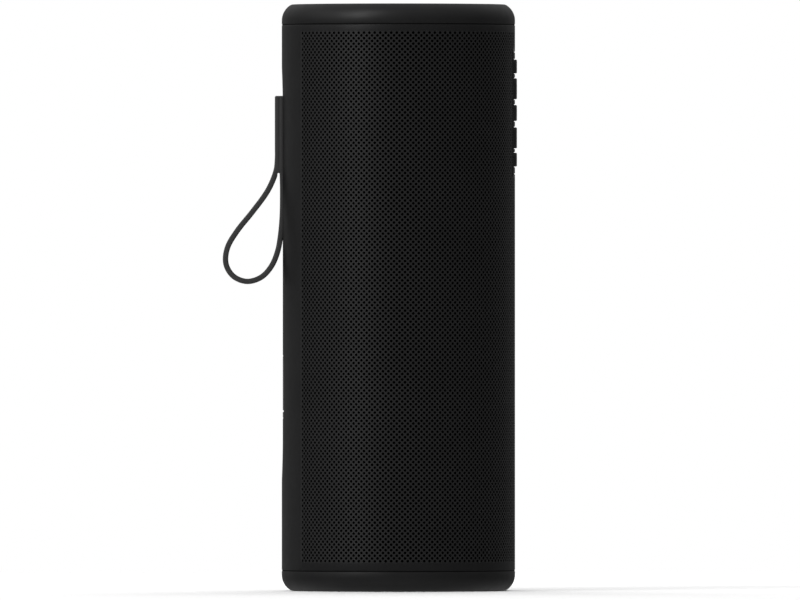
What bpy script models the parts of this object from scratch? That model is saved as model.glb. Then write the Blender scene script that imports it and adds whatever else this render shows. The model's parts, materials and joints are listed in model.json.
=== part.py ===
"""Cylindrical shower speaker: perforated sleeve, five side buttons, wrist strap and port cover.

Metres, +Z up. The speaker stands on Z = 0 with its axis along Z. The buttons face +X, the strap
and the charging port face -X, the left driver and radiator face -Y and the right ones face +Y.
"""

from math import acos, asin, cos, pi, radians, sin, sqrt

import bmesh
import bpy
from mathutils import Matrix, Vector

for leftover in list(bpy.data.objects):
    bpy.data.objects.remove(leftover)

MM = 0.001
GAP = 0.3 * MM  # clearance between pieces that touch

# Outside of the speaker
BODY_RADIUS = 36.6 * MM
BODY_HEIGHT = 184.0 * MM
RIM_RADIUS = 5.65 * MM  # round between the side and each flat end
RIM_CENTRE = 5.02 * MM  # height of that round's centre above the flat end
SEAM_HEIGHT = 6.34 * MM  # middle of the groove between a cap and the sleeve
SEAM_WIDTH = 0.36 * MM
CAP_WALL = 2.8 * MM
CAP_SKIRT_OUTER = 33.9 * MM
CAP_SKIRT_INNER = 31.8 * MM
CAP_SKIRT_LENGTH = 2.5 * MM
FOOT_RADIUS = 30.0 * MM
FOOT_THICKNESS = 1.0 * MM
FOOT_STANDS_PROUD = 0.2 * MM

# Sleeve
GRILLE_THICKNESS = 1.0 * MM
MESH_RADIUS = 35.3 * MM
MESH_THICKNESS = 0.4 * MM
SPINE_INNER = 34.2 * MM
SPINE_HALF_ANGLE = radians(33.2)
SCOOP_DEPTH = 0.32 * MM  # long flat down the spine
SCOOP_LOW = 48.4 * MM
SCOOP_HIGH = 150.4 * MM
SCOOP_RUNOUT_RADIUS = 296.0 * MM
SCOOP_HALF_WIDTH = 9.0 * MM  # of its cutter, which the round body narrows to less
CHANNEL_FLOOR = -35.2 * MM  # X of the pocket that the strap lies in
CHANNEL_WIDTH = 8.4 * MM
CHANNEL_CORNER = 1.5 * MM
CHANNEL_LOW = 84.0 * MM
CHANNEL_HIGH = 155.8 * MM

# Buttons, from the top: name, height of its middle, length along Z
BUTTONS_MIDDLE = 149.95 * MM
BUTTONS = [
    ("power", 14.60 * MM, 4.3 * MM),
    ("volume_up", 7.60 * MM, 6.55 * MM),
    ("play", 0.0, 4.96 * MM),
    ("volume_down", -7.80 * MM, 6.55 * MM),
    ("pairing", -14.65 * MM, 4.3 * MM),
]
BUTTON_WIDTH = 10.0 * MM
BUTTON_CORNER = 1.2 * MM
BUTTON_FACE_RADIUS = 37.21 * MM
BUTTON_FLANGE_WIDTH = 11.4 * MM
BUTTON_FLANGE_FRONT = 33.9 * MM
BUTTON_BACK = 32.9 * MM
BEZEL_WIDTH = 12.0 * MM
BEZEL_HEIGHT = 38.0 * MM
BEZEL_CORNER = 3.0 * MM
BEZEL_INNER = 35.0 * MM
SEAL_INNER = 34.1 * MM
SEAL_OUTER = 34.6 * MM
SEAL_SIZE = (17.6 * MM, 42.0 * MM)
SEAL_HOLE = (12.6 * MM, 37.4 * MM)
STEM_RADIUS = 0.8 * MM
STEM_TIP = 30.6 * MM
SWITCH_SIZE = 4.2 * MM
SWITCH_FRONT = 31.8 * MM
SWITCH_BACK = 29.4 * MM
BOARD_THICKNESS = 1.5 * MM
BOARD_SIZE = (11.2 * MM, 37.2 * MM)
BLANK_LOW = 120.0 * MM  # the curved blanks of the bezel and its seal are cut down from this height
BLANK_HIGH = 180.0 * MM  # to this one
CUT_FROM = 30.0 * MM  # distance from the axis at which a cutter for the side wall starts
CUT_TO = 40.0 * MM

# Inner housing, a cylinder with a flat on its left and right
HOUSING_RADIUS = 33.8 * MM
HOUSING_FLAT = 24.5 * MM
HOUSING_WALL = 1.8 * MM
HOUSING_FLAT_WALL = 2.0 * MM
HOUSING_LOW = 8.5 * MM
HOUSING_HIGH = 171.0 * MM
HOUSING_FLOOR = 3.8 * MM
HOUSING_TOP_FRAME = 5.5 * MM
HOUSING_MOUTH = (48.0 * MM, 34.0 * MM)
NICHE_FLOOR = 27.3 * MM  # X of the floor of the niche behind the buttons
NICHE_WIDTH = 15.2 * MM
NICHE_HEIGHT = 40.0 * MM
NICHE_WALL = 1.5 * MM
LID_LOW = 172.4 * MM
LID_HIGH = 174.8 * MM
LID_SCREW_AT = (27.0 * MM, 14.5 * MM)
CAP_SCREW_AT = (20.0 * MM, 14.0 * MM)
SCREW_SHANK = 1.0 * MM
SCREW_HEAD = 1.9 * MM
SCREW_HEAD_HEIGHT = 1.3 * MM
BOSS_RADIUS = 3.4 * MM

# Drivers and passive radiators, in their own frame: Z = 0 on the housing's flat, +Z outwards
DRIVER_HEIGHT = 147.0 * MM
DRIVER_HOLE = 19.2 * MM
RADIATOR_HEIGHT = 36.0 * MM
RADIATOR_HOLE = 16.5 * MM

# Power and port
CELL_RADIUS = 9.2 * MM
CELL_LENGTH = 65.0 * MM
CELL_LOW = 61.0 * MM
CELL_X = -11.4 * MM
CELL_Y = 9.6 * MM
HOLDER_X = (-22.5 * MM, -21.0 * MM)
HOLDER_WIDTH = 44.4 * MM
HOLDER_LIP = 1.3 * MM
MAIN_BOARD_X = (-24.4 * MM, -22.8 * MM)
MAIN_BOARD_SIZE = (34.0 * MM, 70.0 * MM)
MAIN_BOARD_MIDDLE = 91.0 * MM
PORT_HEIGHT = 64.0 * MM
PORT_MOUTH_X = -33.6 * MM
PORT_BACK_X = -24.7 * MM
PORT_SHELL = (9.0 * MM, 3.3 * MM)
PORT_SOCKET = (8.3 * MM, 2.6 * MM)
PORT_SLOT = (12.4 * MM, 6.6 * MM)
COVER_SIZE = (14.0 * MM, 19.4 * MM)
COVER_CORNER = 3.0 * MM
COVER_INNER = 34.6 * MM
COVER_HINGE = (-36.0 * MM, 54.7 * MM)  # X and Z of the port cover's hinge

# Strap, seen edge on in the XZ plane
STRAP_THICKNESS = 1.45 * MM
STRAP_WIDTH = 7.6 * MM
STRAP_OUTER_X = -38.74 * MM
STRAP_INNER_X = -35.84 * MM
TAB_LOW = 135.9 * MM
TAB_HIGH = 155.1 * MM
STRAP_HINGE = (STRAP_OUTER_X, 135.75 * MM)
STRAP_CROTCH = 131.3 * MM
STRAP_SCREW_HEIGHT = 147.0 * MM
STRAP_SCREW_TIP = -32.9 * MM
# Middle line of the loop in millimetres, from the outer strand's root round to the inner strand's
STRAP_ROUTE = [
    (-38.1, 134.6),
    (-38.75, 131.2),
    (-41.26, 125.3),
    (-45.94, 118.9),
    (-50.6, 113.1),
    (-53.7, 107.8),
    (-54.25, 102.7),
    (-51.9, 98.6),
    (-47.5, 96.95),
    (-43.2, 98.7),
    (-39.9, 102.1),
    (-37.7, 106.7),
    (-36.8, 111.8),
    (-36.35, 117.5),
    (-36.2, 124.0),
    (-36.25, 130.0),
    (-36.5, 134.6),
]

ROUND = 48  # sides of a full turn at the body's radius
SLEEVE_STEPS = 40  # of the sheets that wrap round the front and sides
SPINE_STEPS = 14
FINE = 20  # of a driver or a battery cell
SMALL = 10  # of a screw or its hole
BUTTON_FACE_STEPS = 80


def material(name, colour, roughness, metallic=0.0):
    made = bpy.data.materials.new(name)
    made.use_nodes = True
    shader = made.node_tree.nodes["Principled BSDF"]
    shader.inputs["Base Color"].default_value = (*colour, 1.0)
    shader.inputs["Roughness"].default_value = roughness
    shader.inputs["Metallic"].default_value = metallic
    made.diffuse_color = (*colour, 1.0)
    return made


# Mesh helpers


def skin(rings, closed=False):
    """Mesh through rings of points. The two ends are filled unless the rings close on themselves."""
    bm = bmesh.new()
    loops = [[bm.verts.new(point) for point in ring] for ring in rings]
    pairs = list(zip(loops, loops[1:]))
    if closed:
        pairs.append((loops[-1], loops[0]))
    for first, second in pairs:
        for i in range(len(first)):
            bm.faces.new((first[i - 1], first[i], second[i], second[i - 1]))
    if not closed:
        bm.faces.new(loops[0])
        bm.faces.new(loops[-1])
    return bm


def add(name, bm, finish, origin=(0.0, 0.0, 0.0)):
    """Turns a bmesh in world coordinates into an object whose origin is at the given point."""
    bmesh.ops.remove_doubles(bm, verts=bm.verts, dist=1e-7)
    bmesh.ops.recalc_face_normals(bm, faces=bm.faces)
    mesh = bpy.data.meshes.new(name)
    bm.to_mesh(mesh)
    bm.free()
    mesh.transform(Matrix.Translation(-Vector(origin)))
    mesh.shade_smooth()
    mesh.set_sharp_from_angle(angle=radians(30))
    mesh.materials.append(finish)
    made = bpy.data.objects.new(name, mesh)
    made.location = origin
    bpy.context.scene.collection.objects.link(made)
    return made


def turned(profile, steps=ROUND, start=0.0, sweep=2 * pi):
    """Closed outline of (radius, height) points turned about Z."""
    full = sweep > 2 * pi - 1e-6
    angles = [start + sweep * i / steps for i in range(steps if full else steps + 1)]
    rings = [[(r * cos(a), r * sin(a), z) for r, z in profile] for a in angles]
    return skin(rings, closed=full)


def shell(inner, outer, low, high, middle, half_angle, steps):
    """Curved plate between two radii, centred on the direction called middle."""
    profile = [(inner, low), (outer, low), (outer, high), (inner, high)]
    return turned(profile, steps, middle - half_angle, 2 * half_angle)


def prism(outline, axis, low, high):
    """Flat outline pushed along an axis. The outline's two numbers follow X, Y, Z order."""
    places = {
        "X": lambda u, v, w: (w, u, v),
        "Y": lambda u, v, w: (u, w, v),
        "Z": lambda u, v, w: (u, v, w),
    }
    place = places[axis]
    return skin([[place(u, v, w) for u, v in outline] for w in (low, high)])


def rectangle(width, height, centre=(0.0, 0.0), corner=0.0, steps=3):
    """Outline of a rectangle, with round corners where a corner radius is given."""
    across = width / 2 - corner
    up = height / 2 - corner
    points = []
    for quarter, (side_u, side_v) in enumerate([(1, 1), (-1, 1), (-1, -1), (1, -1)]):
        for i in range(steps + 1 if corner else 1):
            angle = (quarter + i / steps) * pi / 2
            u = centre[0] + side_u * across + corner * cos(angle)
            v = centre[1] + side_v * up + corner * sin(angle)
            points.append((u, v))
    return points


def circle(radius, centre=(0.0, 0.0), steps=FINE):
    angles = [2 * pi * i / steps for i in range(steps)]
    return [(centre[0] + radius * cos(a), centre[1] + radius * sin(a)) for a in angles]


def flatted_circle(radius, flat):
    """Circle cut off by flats at Y = flat and Y = -flat."""
    reach = asin(flat / radius)
    steps = ROUND // 4
    angles = [-reach + 2 * reach * i / steps for i in range(steps + 1)]
    right = [(radius * cos(a), radius * sin(a)) for a in angles]
    left = [(-u, -v) for u, v in right]
    return right + left


def smooth(points, per_span):
    """Catmull-Rom curve through points in a plane."""
    ends = [_mirror(points[0], points[1]), *points, _mirror(points[-1], points[-2])]
    route = []
    for i in range(1, len(ends) - 2):
        a, b, c, d = (Vector(p) for p in ends[i - 1 : i + 3])
        for k in range(per_span):
            t = k / per_span
            bend = (2 * a - 5 * b + 4 * c - d) * t**2 + (3 * b - a - 3 * c + d) * t**3
            route.append(b + ((c - a) * t + bend) / 2)
    route.append(Vector(ends[-2]))
    return route


def _mirror(end, inner):
    return (2 * end[0] - inner[0], 2 * end[1] - inner[1])


def tube(route, radius, steps=6):
    """Round lead along points in space."""
    points = [Vector(p) for p in route]
    rings = []
    for i, point in enumerate(points):
        along = (points[min(i + 1, len(points) - 1)] - points[max(i - 1, 0)]).normalized()
        side = along.cross(Vector((0.0, 1.0, 0.0))).normalized()
        up = side.cross(along)
        angles = [2 * pi * k / steps for k in range(steps)]
        rings.append([point + radius * (cos(a) * side + sin(a) * up) for a in angles])
    return skin(rings)


def modify(target, operation, cutter):
    """Boolean modifier on target. The cutter stays in the scene as a hidden wire guide."""
    change = target.modifiers.new(cutter.name, "BOOLEAN")
    change.operation = operation
    change.solver = "EXACT"
    change.object = cutter
    cutter.hide_render = True
    cutter.display_type = "WIRE"
    return target


def tool(name, bm):
    """Cutter or guide, which isn't a part of the speaker."""
    return add(name, bm, TOOL)


# Finishes

TOOL = material("tool", (0.9, 0.1, 0.1), 0.5)
SHELL_BLACK = material("shell_black", (0.022, 0.022, 0.023), 0.42)
GRILLE_BLACK = material("grille_black", (0.020, 0.020, 0.021), 0.38)
MESH_BLACK = material("mesh_black", (0.006, 0.006, 0.006), 0.95)
BUTTON_BLACK = material("button_black", (0.020, 0.020, 0.020), 0.50)
STRAP_GREY = material("strap_grey", (0.045, 0.045, 0.045), 0.65)
RUBBER_BLACK = material("rubber_black", (0.018, 0.018, 0.018), 0.75)
HOUSING_GREY = material("housing_grey", (0.05, 0.05, 0.055), 0.55)
BOARD_GREEN = material("board_green", (0.02, 0.10, 0.04), 0.45)
SWITCH_GREY = material("switch_grey", (0.30, 0.30, 0.31), 0.40)
CELL_WRAP = material("cell_wrap", (0.05, 0.16, 0.35), 0.35)
HOLDER_WHITE = material("holder_white", (0.60, 0.60, 0.58), 0.50)
STEEL = material("steel", (0.55, 0.55, 0.56), 0.30, 1.0)
MAGNET_DARK = material("magnet_dark", (0.08, 0.08, 0.09), 0.45, 1.0)
CONE_PAPER = material("cone_paper", (0.03, 0.03, 0.03), 0.80)
COPPER_FLEX = material("copper_flex", (0.55, 0.28, 0.05), 0.40)
LEAD_RED = material("lead_red", (0.45, 0.02, 0.02), 0.45)


# Caps and foot


def rim_outline(first_radius, steps=5):
    """Round rim of a cap as (radius, height above the flat end), from the flat out to the side."""
    start = -acos((first_radius - BODY_RADIUS + RIM_RADIUS) / RIM_RADIUS)
    angles = [start * (1 - i / steps) for i in range(steps + 1)]
    middle = BODY_RADIUS - RIM_RADIUS
    return [(middle + RIM_RADIUS * cos(a), RIM_CENTRE + RIM_RADIUS * sin(a)) for a in angles]


def flat_radius(height):
    """Radius at which the rim meets a flat at this height above the end."""
    return BODY_RADIUS - RIM_RADIUS + sqrt(RIM_RADIUS**2 - (RIM_CENTRE - height) ** 2)


def make_top_cap():
    edge = SEAM_HEIGHT - SEAM_WIDTH / 2
    skirt_end = SEAM_HEIGHT + CAP_SKIRT_LENGTH
    profile = [(0.0, 0.0), *rim_outline(flat_radius(0.0))]
    profile += [(BODY_RADIUS, edge), (CAP_SKIRT_OUTER, edge), (CAP_SKIRT_OUTER, skirt_end)]
    profile += [(CAP_SKIRT_INNER, skirt_end), (CAP_SKIRT_INNER, CAP_WALL), (0.0, CAP_WALL)]
    add("top_cap", turned([(r, BODY_HEIGHT - z) for r, z in profile]), SHELL_BLACK)


def make_bottom_cap():
    base = FOOT_STANDS_PROUD
    recess = FOOT_THICKNESS + GAP
    floor = recess + 2.5 * MM
    edge = SEAM_HEIGHT - SEAM_WIDTH / 2
    skirt_end = HOUSING_LOW - GAP
    profile = [(0.0, recess), (FOOT_RADIUS + GAP, recess), (FOOT_RADIUS + GAP, base)]
    profile += rim_outline(flat_radius(base))
    profile += [(BODY_RADIUS, edge), (CAP_SKIRT_OUTER, edge), (CAP_SKIRT_OUTER, skirt_end)]
    profile += [(CAP_SKIRT_INNER, skirt_end), (CAP_SKIRT_INNER, floor), (0.0, floor)]
    cap = add("bottom_cap", turned(profile), SHELL_BLACK)
    head_seat = recess + 1.8 * MM
    for i, (x, y) in enumerate(corners(CAP_SCREW_AT), start=1):
        boss = prism(circle(BOSS_RADIUS, (x, y), SMALL), "Z", floor - 0.5 * MM, skirt_end)
        modify(cap, "UNION", tool(f"boss_{i}", boss))
        hole = hole_profile(recess - MM, head_seat, skirt_end + MM)
        modify(cap, "DIFFERENCE", tool(f"boss_hole_{i}", moved(turned(hole, SMALL), (x, y, 0.0))))
        low = recess + GAP
        add_screw(f"cap_screw_{i}", (x, y, low), 0.0, HOUSING_LOW + 2.6 * MM - low)
    profile = [(0.0, 0.0), (FOOT_RADIUS - 0.5 * MM, 0.0), (FOOT_RADIUS, 0.4 * MM)]
    profile += [(FOOT_RADIUS, FOOT_THICKNESS), (0.0, FOOT_THICKNESS)]
    add("foot_pad", turned(profile), RUBBER_BLACK)


def corners(at):
    return [(at[0], at[1]), (-at[0], at[1]), (-at[0], -at[1]), (at[0], -at[1])]


def moved(bm, offset):
    bmesh.ops.translate(bm, verts=bm.verts, vec=offset)
    return bm


def hole_profile(mouth, seat, end):
    """Stepped hole for a screw that is put in at the height called mouth."""
    head = SCREW_HEAD + GAP
    shank = SCREW_SHANK + GAP
    return [(0.0, mouth), (head, mouth), (head, seat), (shank, seat), (shank, end), (0.0, end)]


def add_screw(name, head_at, turn, length):
    """Screw with its head's outer face at head_at. Its shank points to +Z before turn, about Y."""
    drive = 0.9 * MM
    profile = [(0.0, 0.7 * MM), (drive, 0.7 * MM), (drive, 0.0), (SCREW_HEAD, 0.0)]
    profile += [(SCREW_HEAD, SCREW_HEAD_HEIGHT), (SCREW_SHANK, SCREW_HEAD_HEIGHT)]
    profile += [(SCREW_SHANK, length - 0.6 * MM), (0.4 * MM, length), (0.0, length)]
    screw = add(name, turned(profile, SMALL), STEEL)
    screw.rotation_euler = (0.0, turn, 0.0)
    screw.location = head_at


# Sleeve


def make_sleeve():
    low = SEAM_HEIGHT + SEAM_WIDTH / 2
    high = BODY_HEIGHT - low
    spine_end = SPINE_HALF_ANGLE + GAP / BODY_RADIUS
    wrap = pi - spine_end
    sheet = shell(BODY_RADIUS - GRILLE_THICKNESS, BODY_RADIUS, low, high, 0.0, wrap, SLEEVE_STEPS)
    grille = add("grille", sheet, GRILLE_BLACK)
    sheet = shell(MESH_RADIUS - MESH_THICKNESS, MESH_RADIUS, low, high, 0.0, wrap, SLEEVE_STEPS)
    mesh = add("acoustic_mesh", sheet, MESH_BLACK)
    window_width = BEZEL_WIDTH + 2 * GAP
    window_height = BEZEL_HEIGHT + 2 * GAP
    window = rectangle(window_width, window_height, (0.0, BUTTONS_MIDDLE), BEZEL_CORNER + GAP)
    window = tool("bezel_window", prism(window, "X", CUT_FROM, CUT_TO))
    modify(grille, "DIFFERENCE", window)
    modify(mesh, "DIFFERENCE", window)

    plate = shell(SPINE_INNER, BODY_RADIUS, low, high, pi, SPINE_HALF_ANGLE, SPINE_STEPS)
    spine = add("rear_spine", plate, SHELL_BLACK)
    modify(spine, "DIFFERENCE", SCOOP)
    channel_middle = (CHANNEL_LOW + CHANNEL_HIGH) / 2
    channel = rectangle(CHANNEL_WIDTH, CHANNEL_HIGH - CHANNEL_LOW, (0.0, channel_middle), CHANNEL_CORNER)
    modify(spine, "DIFFERENCE", tool("strap_channel", prism(channel, "X", -CUT_TO, CHANNEL_FLOOR)))
    opening_width = COVER_SIZE[0] + 2 * GAP
    opening_height = COVER_SIZE[1] + 2 * GAP
    opening = rectangle(opening_width, opening_height, (0.0, PORT_HEIGHT), COVER_CORNER + GAP)
    modify(spine, "DIFFERENCE", tool("cover_opening", prism(opening, "X", -CUT_TO, -CUT_FROM)))
    hole = circle(SCREW_SHANK + GAP, (0.0, STRAP_SCREW_HEIGHT), SMALL)
    modify(spine, "DIFFERENCE", tool("strap_screw_hole", prism(hole, "X", -CUT_TO, -CUT_FROM)))


def scoop_tool():
    """Everything outside the long flat of the spine, whose ends run out on large arcs."""
    flat_x = -BODY_RADIUS + SCOOP_DEPTH
    clear = 1.3  # the arcs go on past the body's surface
    length = sqrt(2 * SCOOP_RUNOUT_RADIUS * SCOOP_DEPTH) * clear
    steps = 8
    run = [length * i / steps for i in range(steps, -1, -1)]
    high_end = [(flat_x - d**2 / (2 * SCOOP_RUNOUT_RADIUS), SCOOP_HIGH + d) for d in run]
    low_end = [(x, SCOOP_LOW + SCOOP_HIGH - z) for x, z in reversed(high_end)]
    outside = [(-CUT_TO, low_end[-1][1]), (-CUT_TO, high_end[0][1])]
    return tool("scoop", prism(high_end + low_end + outside, "Y", -SCOOP_HALF_WIDTH, SCOOP_HALF_WIDTH))


# Buttons


def make_buttons():
    middle = BUTTONS_MIDDLE
    profile = [(0.0, BLANK_LOW), (BUTTON_FACE_RADIUS, BLANK_LOW)]
    profile += [(r, BLANK_LOW + BLANK_HIGH - z) for r, z in reversed(profile)]
    face = tool("button_face", turned(profile, BUTTON_FACE_STEPS))
    blank = shell(BEZEL_INNER, BODY_RADIUS, BLANK_LOW, BLANK_HIGH, 0.0, radians(15), 8)
    bezel = add("button_bezel", blank, SHELL_BLACK)
    outline = rectangle(BEZEL_WIDTH, BEZEL_HEIGHT, (0.0, middle), BEZEL_CORNER)
    modify(bezel, "INTERSECT", tool("bezel_outline", prism(outline, "X", CUT_FROM, CUT_TO)))

    blank = shell(SEAL_INNER, SEAL_OUTER, BLANK_LOW, BLANK_HIGH, 0.0, radians(20), 10)
    seal = add("button_seal", blank, RUBBER_BLACK)
    outline = rectangle(*SEAL_SIZE, (0.0, middle), BEZEL_CORNER)
    modify(seal, "INTERSECT", tool("seal_outline", prism(outline, "X", CUT_FROM, CUT_TO)))
    outline = rectangle(*SEAL_HOLE, (0.0, middle), BEZEL_CORNER)
    modify(seal, "DIFFERENCE", tool("seal_hole", prism(outline, "X", CUT_FROM, CUT_TO)))

    for name, offset, length in BUTTONS:
        height = middle + offset
        outline = rectangle(BUTTON_WIDTH, length, (0.0, height), BUTTON_CORNER)
        key = prism(outline, "X", BUTTON_FLANGE_FRONT - 0.4 * MM, CUT_TO)
        button = add(f"{name}_button", key, BUTTON_BLACK, (BODY_RADIUS, 0.0, height))
        modify(button, "INTERSECT", face)
        flange = rectangle(BUTTON_FLANGE_WIDTH, length - 0.4 * MM, (0.0, height))
        flange_body = prism(flange, "X", BUTTON_BACK, BUTTON_FLANGE_FRONT)
        modify(button, "UNION", tool(f"{name}_flange", flange_body))
        window = rectangle(BUTTON_WIDTH + 2 * GAP, length + 2 * GAP, (0.0, height), BUTTON_CORNER + GAP)
        modify(bezel, "DIFFERENCE", tool(f"{name}_window", prism(window, "X", CUT_FROM, CUT_TO)))

        stem = circle(STEM_RADIUS, (0.0, height), SMALL)
        add(f"{name}_switch_stem", prism(stem, "X", STEM_TIP, BUTTON_BACK - GAP), SWITCH_GREY,
            (STEM_TIP, 0.0, height))
        body = rectangle(SWITCH_SIZE, SWITCH_SIZE - 0.2 * MM, (0.0, height))
        switch = add(f"{name}_switch", prism(body, "X", SWITCH_BACK, SWITCH_FRONT), SWITCH_GREY)
        bore = circle(STEM_RADIUS + GAP, (0.0, height), SMALL)
        modify(switch, "DIFFERENCE", tool(f"{name}_bore", prism(bore, "X", SWITCH_BACK + 0.4 * MM, CUT_TO)))

    board = rectangle(*BOARD_SIZE, (0.0, middle))
    front = SWITCH_BACK - GAP
    add("button_board", prism(board, "X", front - BOARD_THICKNESS, front), BOARD_GREEN)


def make_button_ribbon():
    """Flat flex from the back of the button board, through the niche floor, to the main board."""
    top = BUTTONS_MIDDLE - 17.6 * MM
    points = [(27.2 * MM, top), (25.0 * MM, top), (14.0 * MM, top - 2.4 * MM), (-10.0 * MM, top - 3.2 * MM)]
    points += [(-20.0 * MM, top - 2.8 * MM), (-23.5 * MM, top - 4.0 * MM), (-23.6 * MM, top - 5.9 * MM)]
    rings = []
    route = smooth(points, 3)
    for i, point in enumerate(route):
        along = (route[min(i + 1, len(route) - 1)] - route[max(i - 1, 0)]).normalized()
        side = Vector((-along[1], along[0])) * 0.15 * MM
        edge = [point + side, point - side]
        rings.append([(edge[0][0], -6 * MM, edge[0][1]), (edge[1][0], -6 * MM, edge[1][1]),
                      (edge[1][0], -MM, edge[1][1]), (edge[0][0], -MM, edge[0][1])])
    add("button_ribbon", skin(rings), COPPER_FLEX)


# Inner housing


def make_housing():
    inner_radius = HOUSING_RADIUS - HOUSING_WALL
    inner_flat = HOUSING_FLAT - HOUSING_FLAT_WALL
    ceiling = HOUSING_HIGH - HOUSING_TOP_FRAME
    middle = BUTTONS_MIDDLE
    outer = flatted_circle(HOUSING_RADIUS, HOUSING_FLAT)
    housing = add("inner_housing", prism(outer, "Z", HOUSING_LOW, HOUSING_HIGH), HOUSING_GREY)

    chamber = flatted_circle(inner_radius, inner_flat)
    chamber = tool("chamber", prism(chamber, "Z", HOUSING_LOW + HOUSING_FLOOR, ceiling))
    wall = rectangle(NICHE_WIDTH + 2 * NICHE_WALL, NICHE_HEIGHT + 2 * NICHE_WALL, (0.0, middle))
    modify(chamber, "DIFFERENCE", tool("niche_wall", prism(wall, "X", NICHE_FLOOR - NICHE_WALL, CUT_TO)))
    modify(housing, "DIFFERENCE", chamber)

    niche = rectangle(NICHE_WIDTH, NICHE_HEIGHT, (0.0, middle), MM)
    modify(housing, "DIFFERENCE", tool("niche", prism(niche, "X", NICHE_FLOOR, CUT_TO)))
    mouth = rectangle(*HOUSING_MOUTH, corner=4 * MM)
    modify(housing, "DIFFERENCE", tool("mouth", prism(mouth, "Z", ceiling - MM, HOUSING_HIGH + MM)))
    for name, radius, height in (("driver_holes", DRIVER_HOLE, DRIVER_HEIGHT),
                                 ("radiator_holes", RADIATOR_HOLE, RADIATOR_HEIGHT)):
        hole = prism(circle(radius, (0.0, height)), "Y", -CUT_TO, CUT_TO)
        modify(housing, "DIFFERENCE", tool(name, hole))
    slot = rectangle(*PORT_SLOT, (0.0, PORT_HEIGHT), 2 * MM)
    modify(housing, "DIFFERENCE", tool("port_slot", prism(slot, "X", -CUT_TO, -28 * MM)))
    slot = rectangle(6.0 * MM, 1.2 * MM, (-3.5 * MM, middle - 17.6 * MM))
    modify(housing, "DIFFERENCE", tool("ribbon_slot", prism(slot, "X", 20 * MM, 28 * MM)))
    pilot = circle(SCREW_SHANK + GAP, (0.0, STRAP_SCREW_HEIGHT), SMALL)
    modify(housing, "DIFFERENCE", tool("strap_pilot", prism(pilot, "X", -CUT_TO, STRAP_SCREW_TIP + GAP)))
    for i, (x, y) in enumerate(corners(LID_SCREW_AT), start=1):
        pilot = circle(SCREW_SHANK + GAP, (x, y), SMALL)
        pilot = prism(pilot, "Z", HOUSING_HIGH - 4.8 * MM, HOUSING_HIGH + MM)
        modify(housing, "DIFFERENCE", tool(f"lid_pilot_{i}", pilot))
    for i, (x, y) in enumerate(corners(CAP_SCREW_AT), start=1):
        shank_hole = circle(SCREW_SHANK + GAP, (x, y), SMALL)
        pilot = prism(shank_hole, "Z", HOUSING_LOW - MM, HOUSING_LOW + 2.9 * MM)
        modify(housing, "DIFFERENCE", tool(f"cap_pilot_{i}", pilot))


def make_lid():
    outline = flatted_circle(HOUSING_RADIUS - 0.2 * MM, HOUSING_FLAT - 0.2 * MM)
    lid = add("housing_lid", prism(outline, "Z", LID_LOW, LID_HIGH), HOUSING_GREY)
    seat = LID_HIGH - SCREW_HEAD_HEIGHT - GAP
    for i, (x, y) in enumerate(corners(LID_SCREW_AT), start=1):
        hole = hole_profile(LID_HIGH + MM, seat, LID_LOW - MM)
        modify(lid, "DIFFERENCE", tool(f"lid_hole_{i}", moved(turned(hole, SMALL), (x, y, 0.0))))
        length = LID_HIGH - HOUSING_HIGH + 4.5 * MM
        add_screw(f"lid_screw_{i}", (x, y, LID_HIGH), pi, length)
    gasket = rectangle(50.4 * MM, 38.0 * MM, corner=6 * MM)
    low = HOUSING_HIGH + GAP
    gasket = add("lid_gasket", prism(gasket, "Z", low, LID_LOW - GAP), RUBBER_BLACK)
    hole = rectangle(48.6 * MM, 34.6 * MM, corner=4.5 * MM)
    modify(gasket, "DIFFERENCE", tool("gasket_hole", prism(hole, "Z", low - MM, LID_LOW + MM)))


# Battery, boards and port


def make_battery():
    for side, name in ((-1, "left"), (1, "right")):
        at = (CELL_X, side * CELL_Y, CELL_LOW)
        top = CELL_LENGTH
        profile = [(0.0, 0.0), (CELL_RADIUS - 0.5 * MM, 0.0), (CELL_RADIUS, 0.5 * MM)]
        profile += [(CELL_RADIUS, top - 1.5 * MM), (CELL_RADIUS - 0.7 * MM, top - 0.8 * MM)]
        profile += [(3.2 * MM, top - 0.8 * MM), (3.0 * MM, top), (0.0, top)]
        add(f"battery_cell_{name}", moved(turned(profile, FINE), at), CELL_WRAP, at)
    low = CELL_LOW - GAP - HOLDER_LIP
    high = CELL_LOW + CELL_LENGTH + GAP + HOLDER_LIP
    front = -2.0 * MM
    outline = [(HOLDER_X[0], low), (front, low), (front, low + HOLDER_LIP), (HOLDER_X[1], low + HOLDER_LIP)]
    outline += [(x, low + high - z) for x, z in reversed(outline)]
    add("battery_holder", prism(outline, "Y", -HOLDER_WIDTH / 2, HOLDER_WIDTH / 2), HOLDER_WHITE)
    board_top = MAIN_BOARD_MIDDLE + MAIN_BOARD_SIZE[1] / 2
    points = [(-8.0 * MM, high + 0.9 * MM), (-14.0 * MM, high + 1.8 * MM), (-20.0 * MM, high + 2.3 * MM)]
    points += [(-23.4 * MM, high + 1.0 * MM), (-23.6 * MM, board_top + 0.5 * MM)]
    route = [(p[0], 6 * MM, p[1]) for p in smooth(points, 3)]
    add("battery_lead", tube(route, 0.55 * MM), LEAD_RED)


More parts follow.
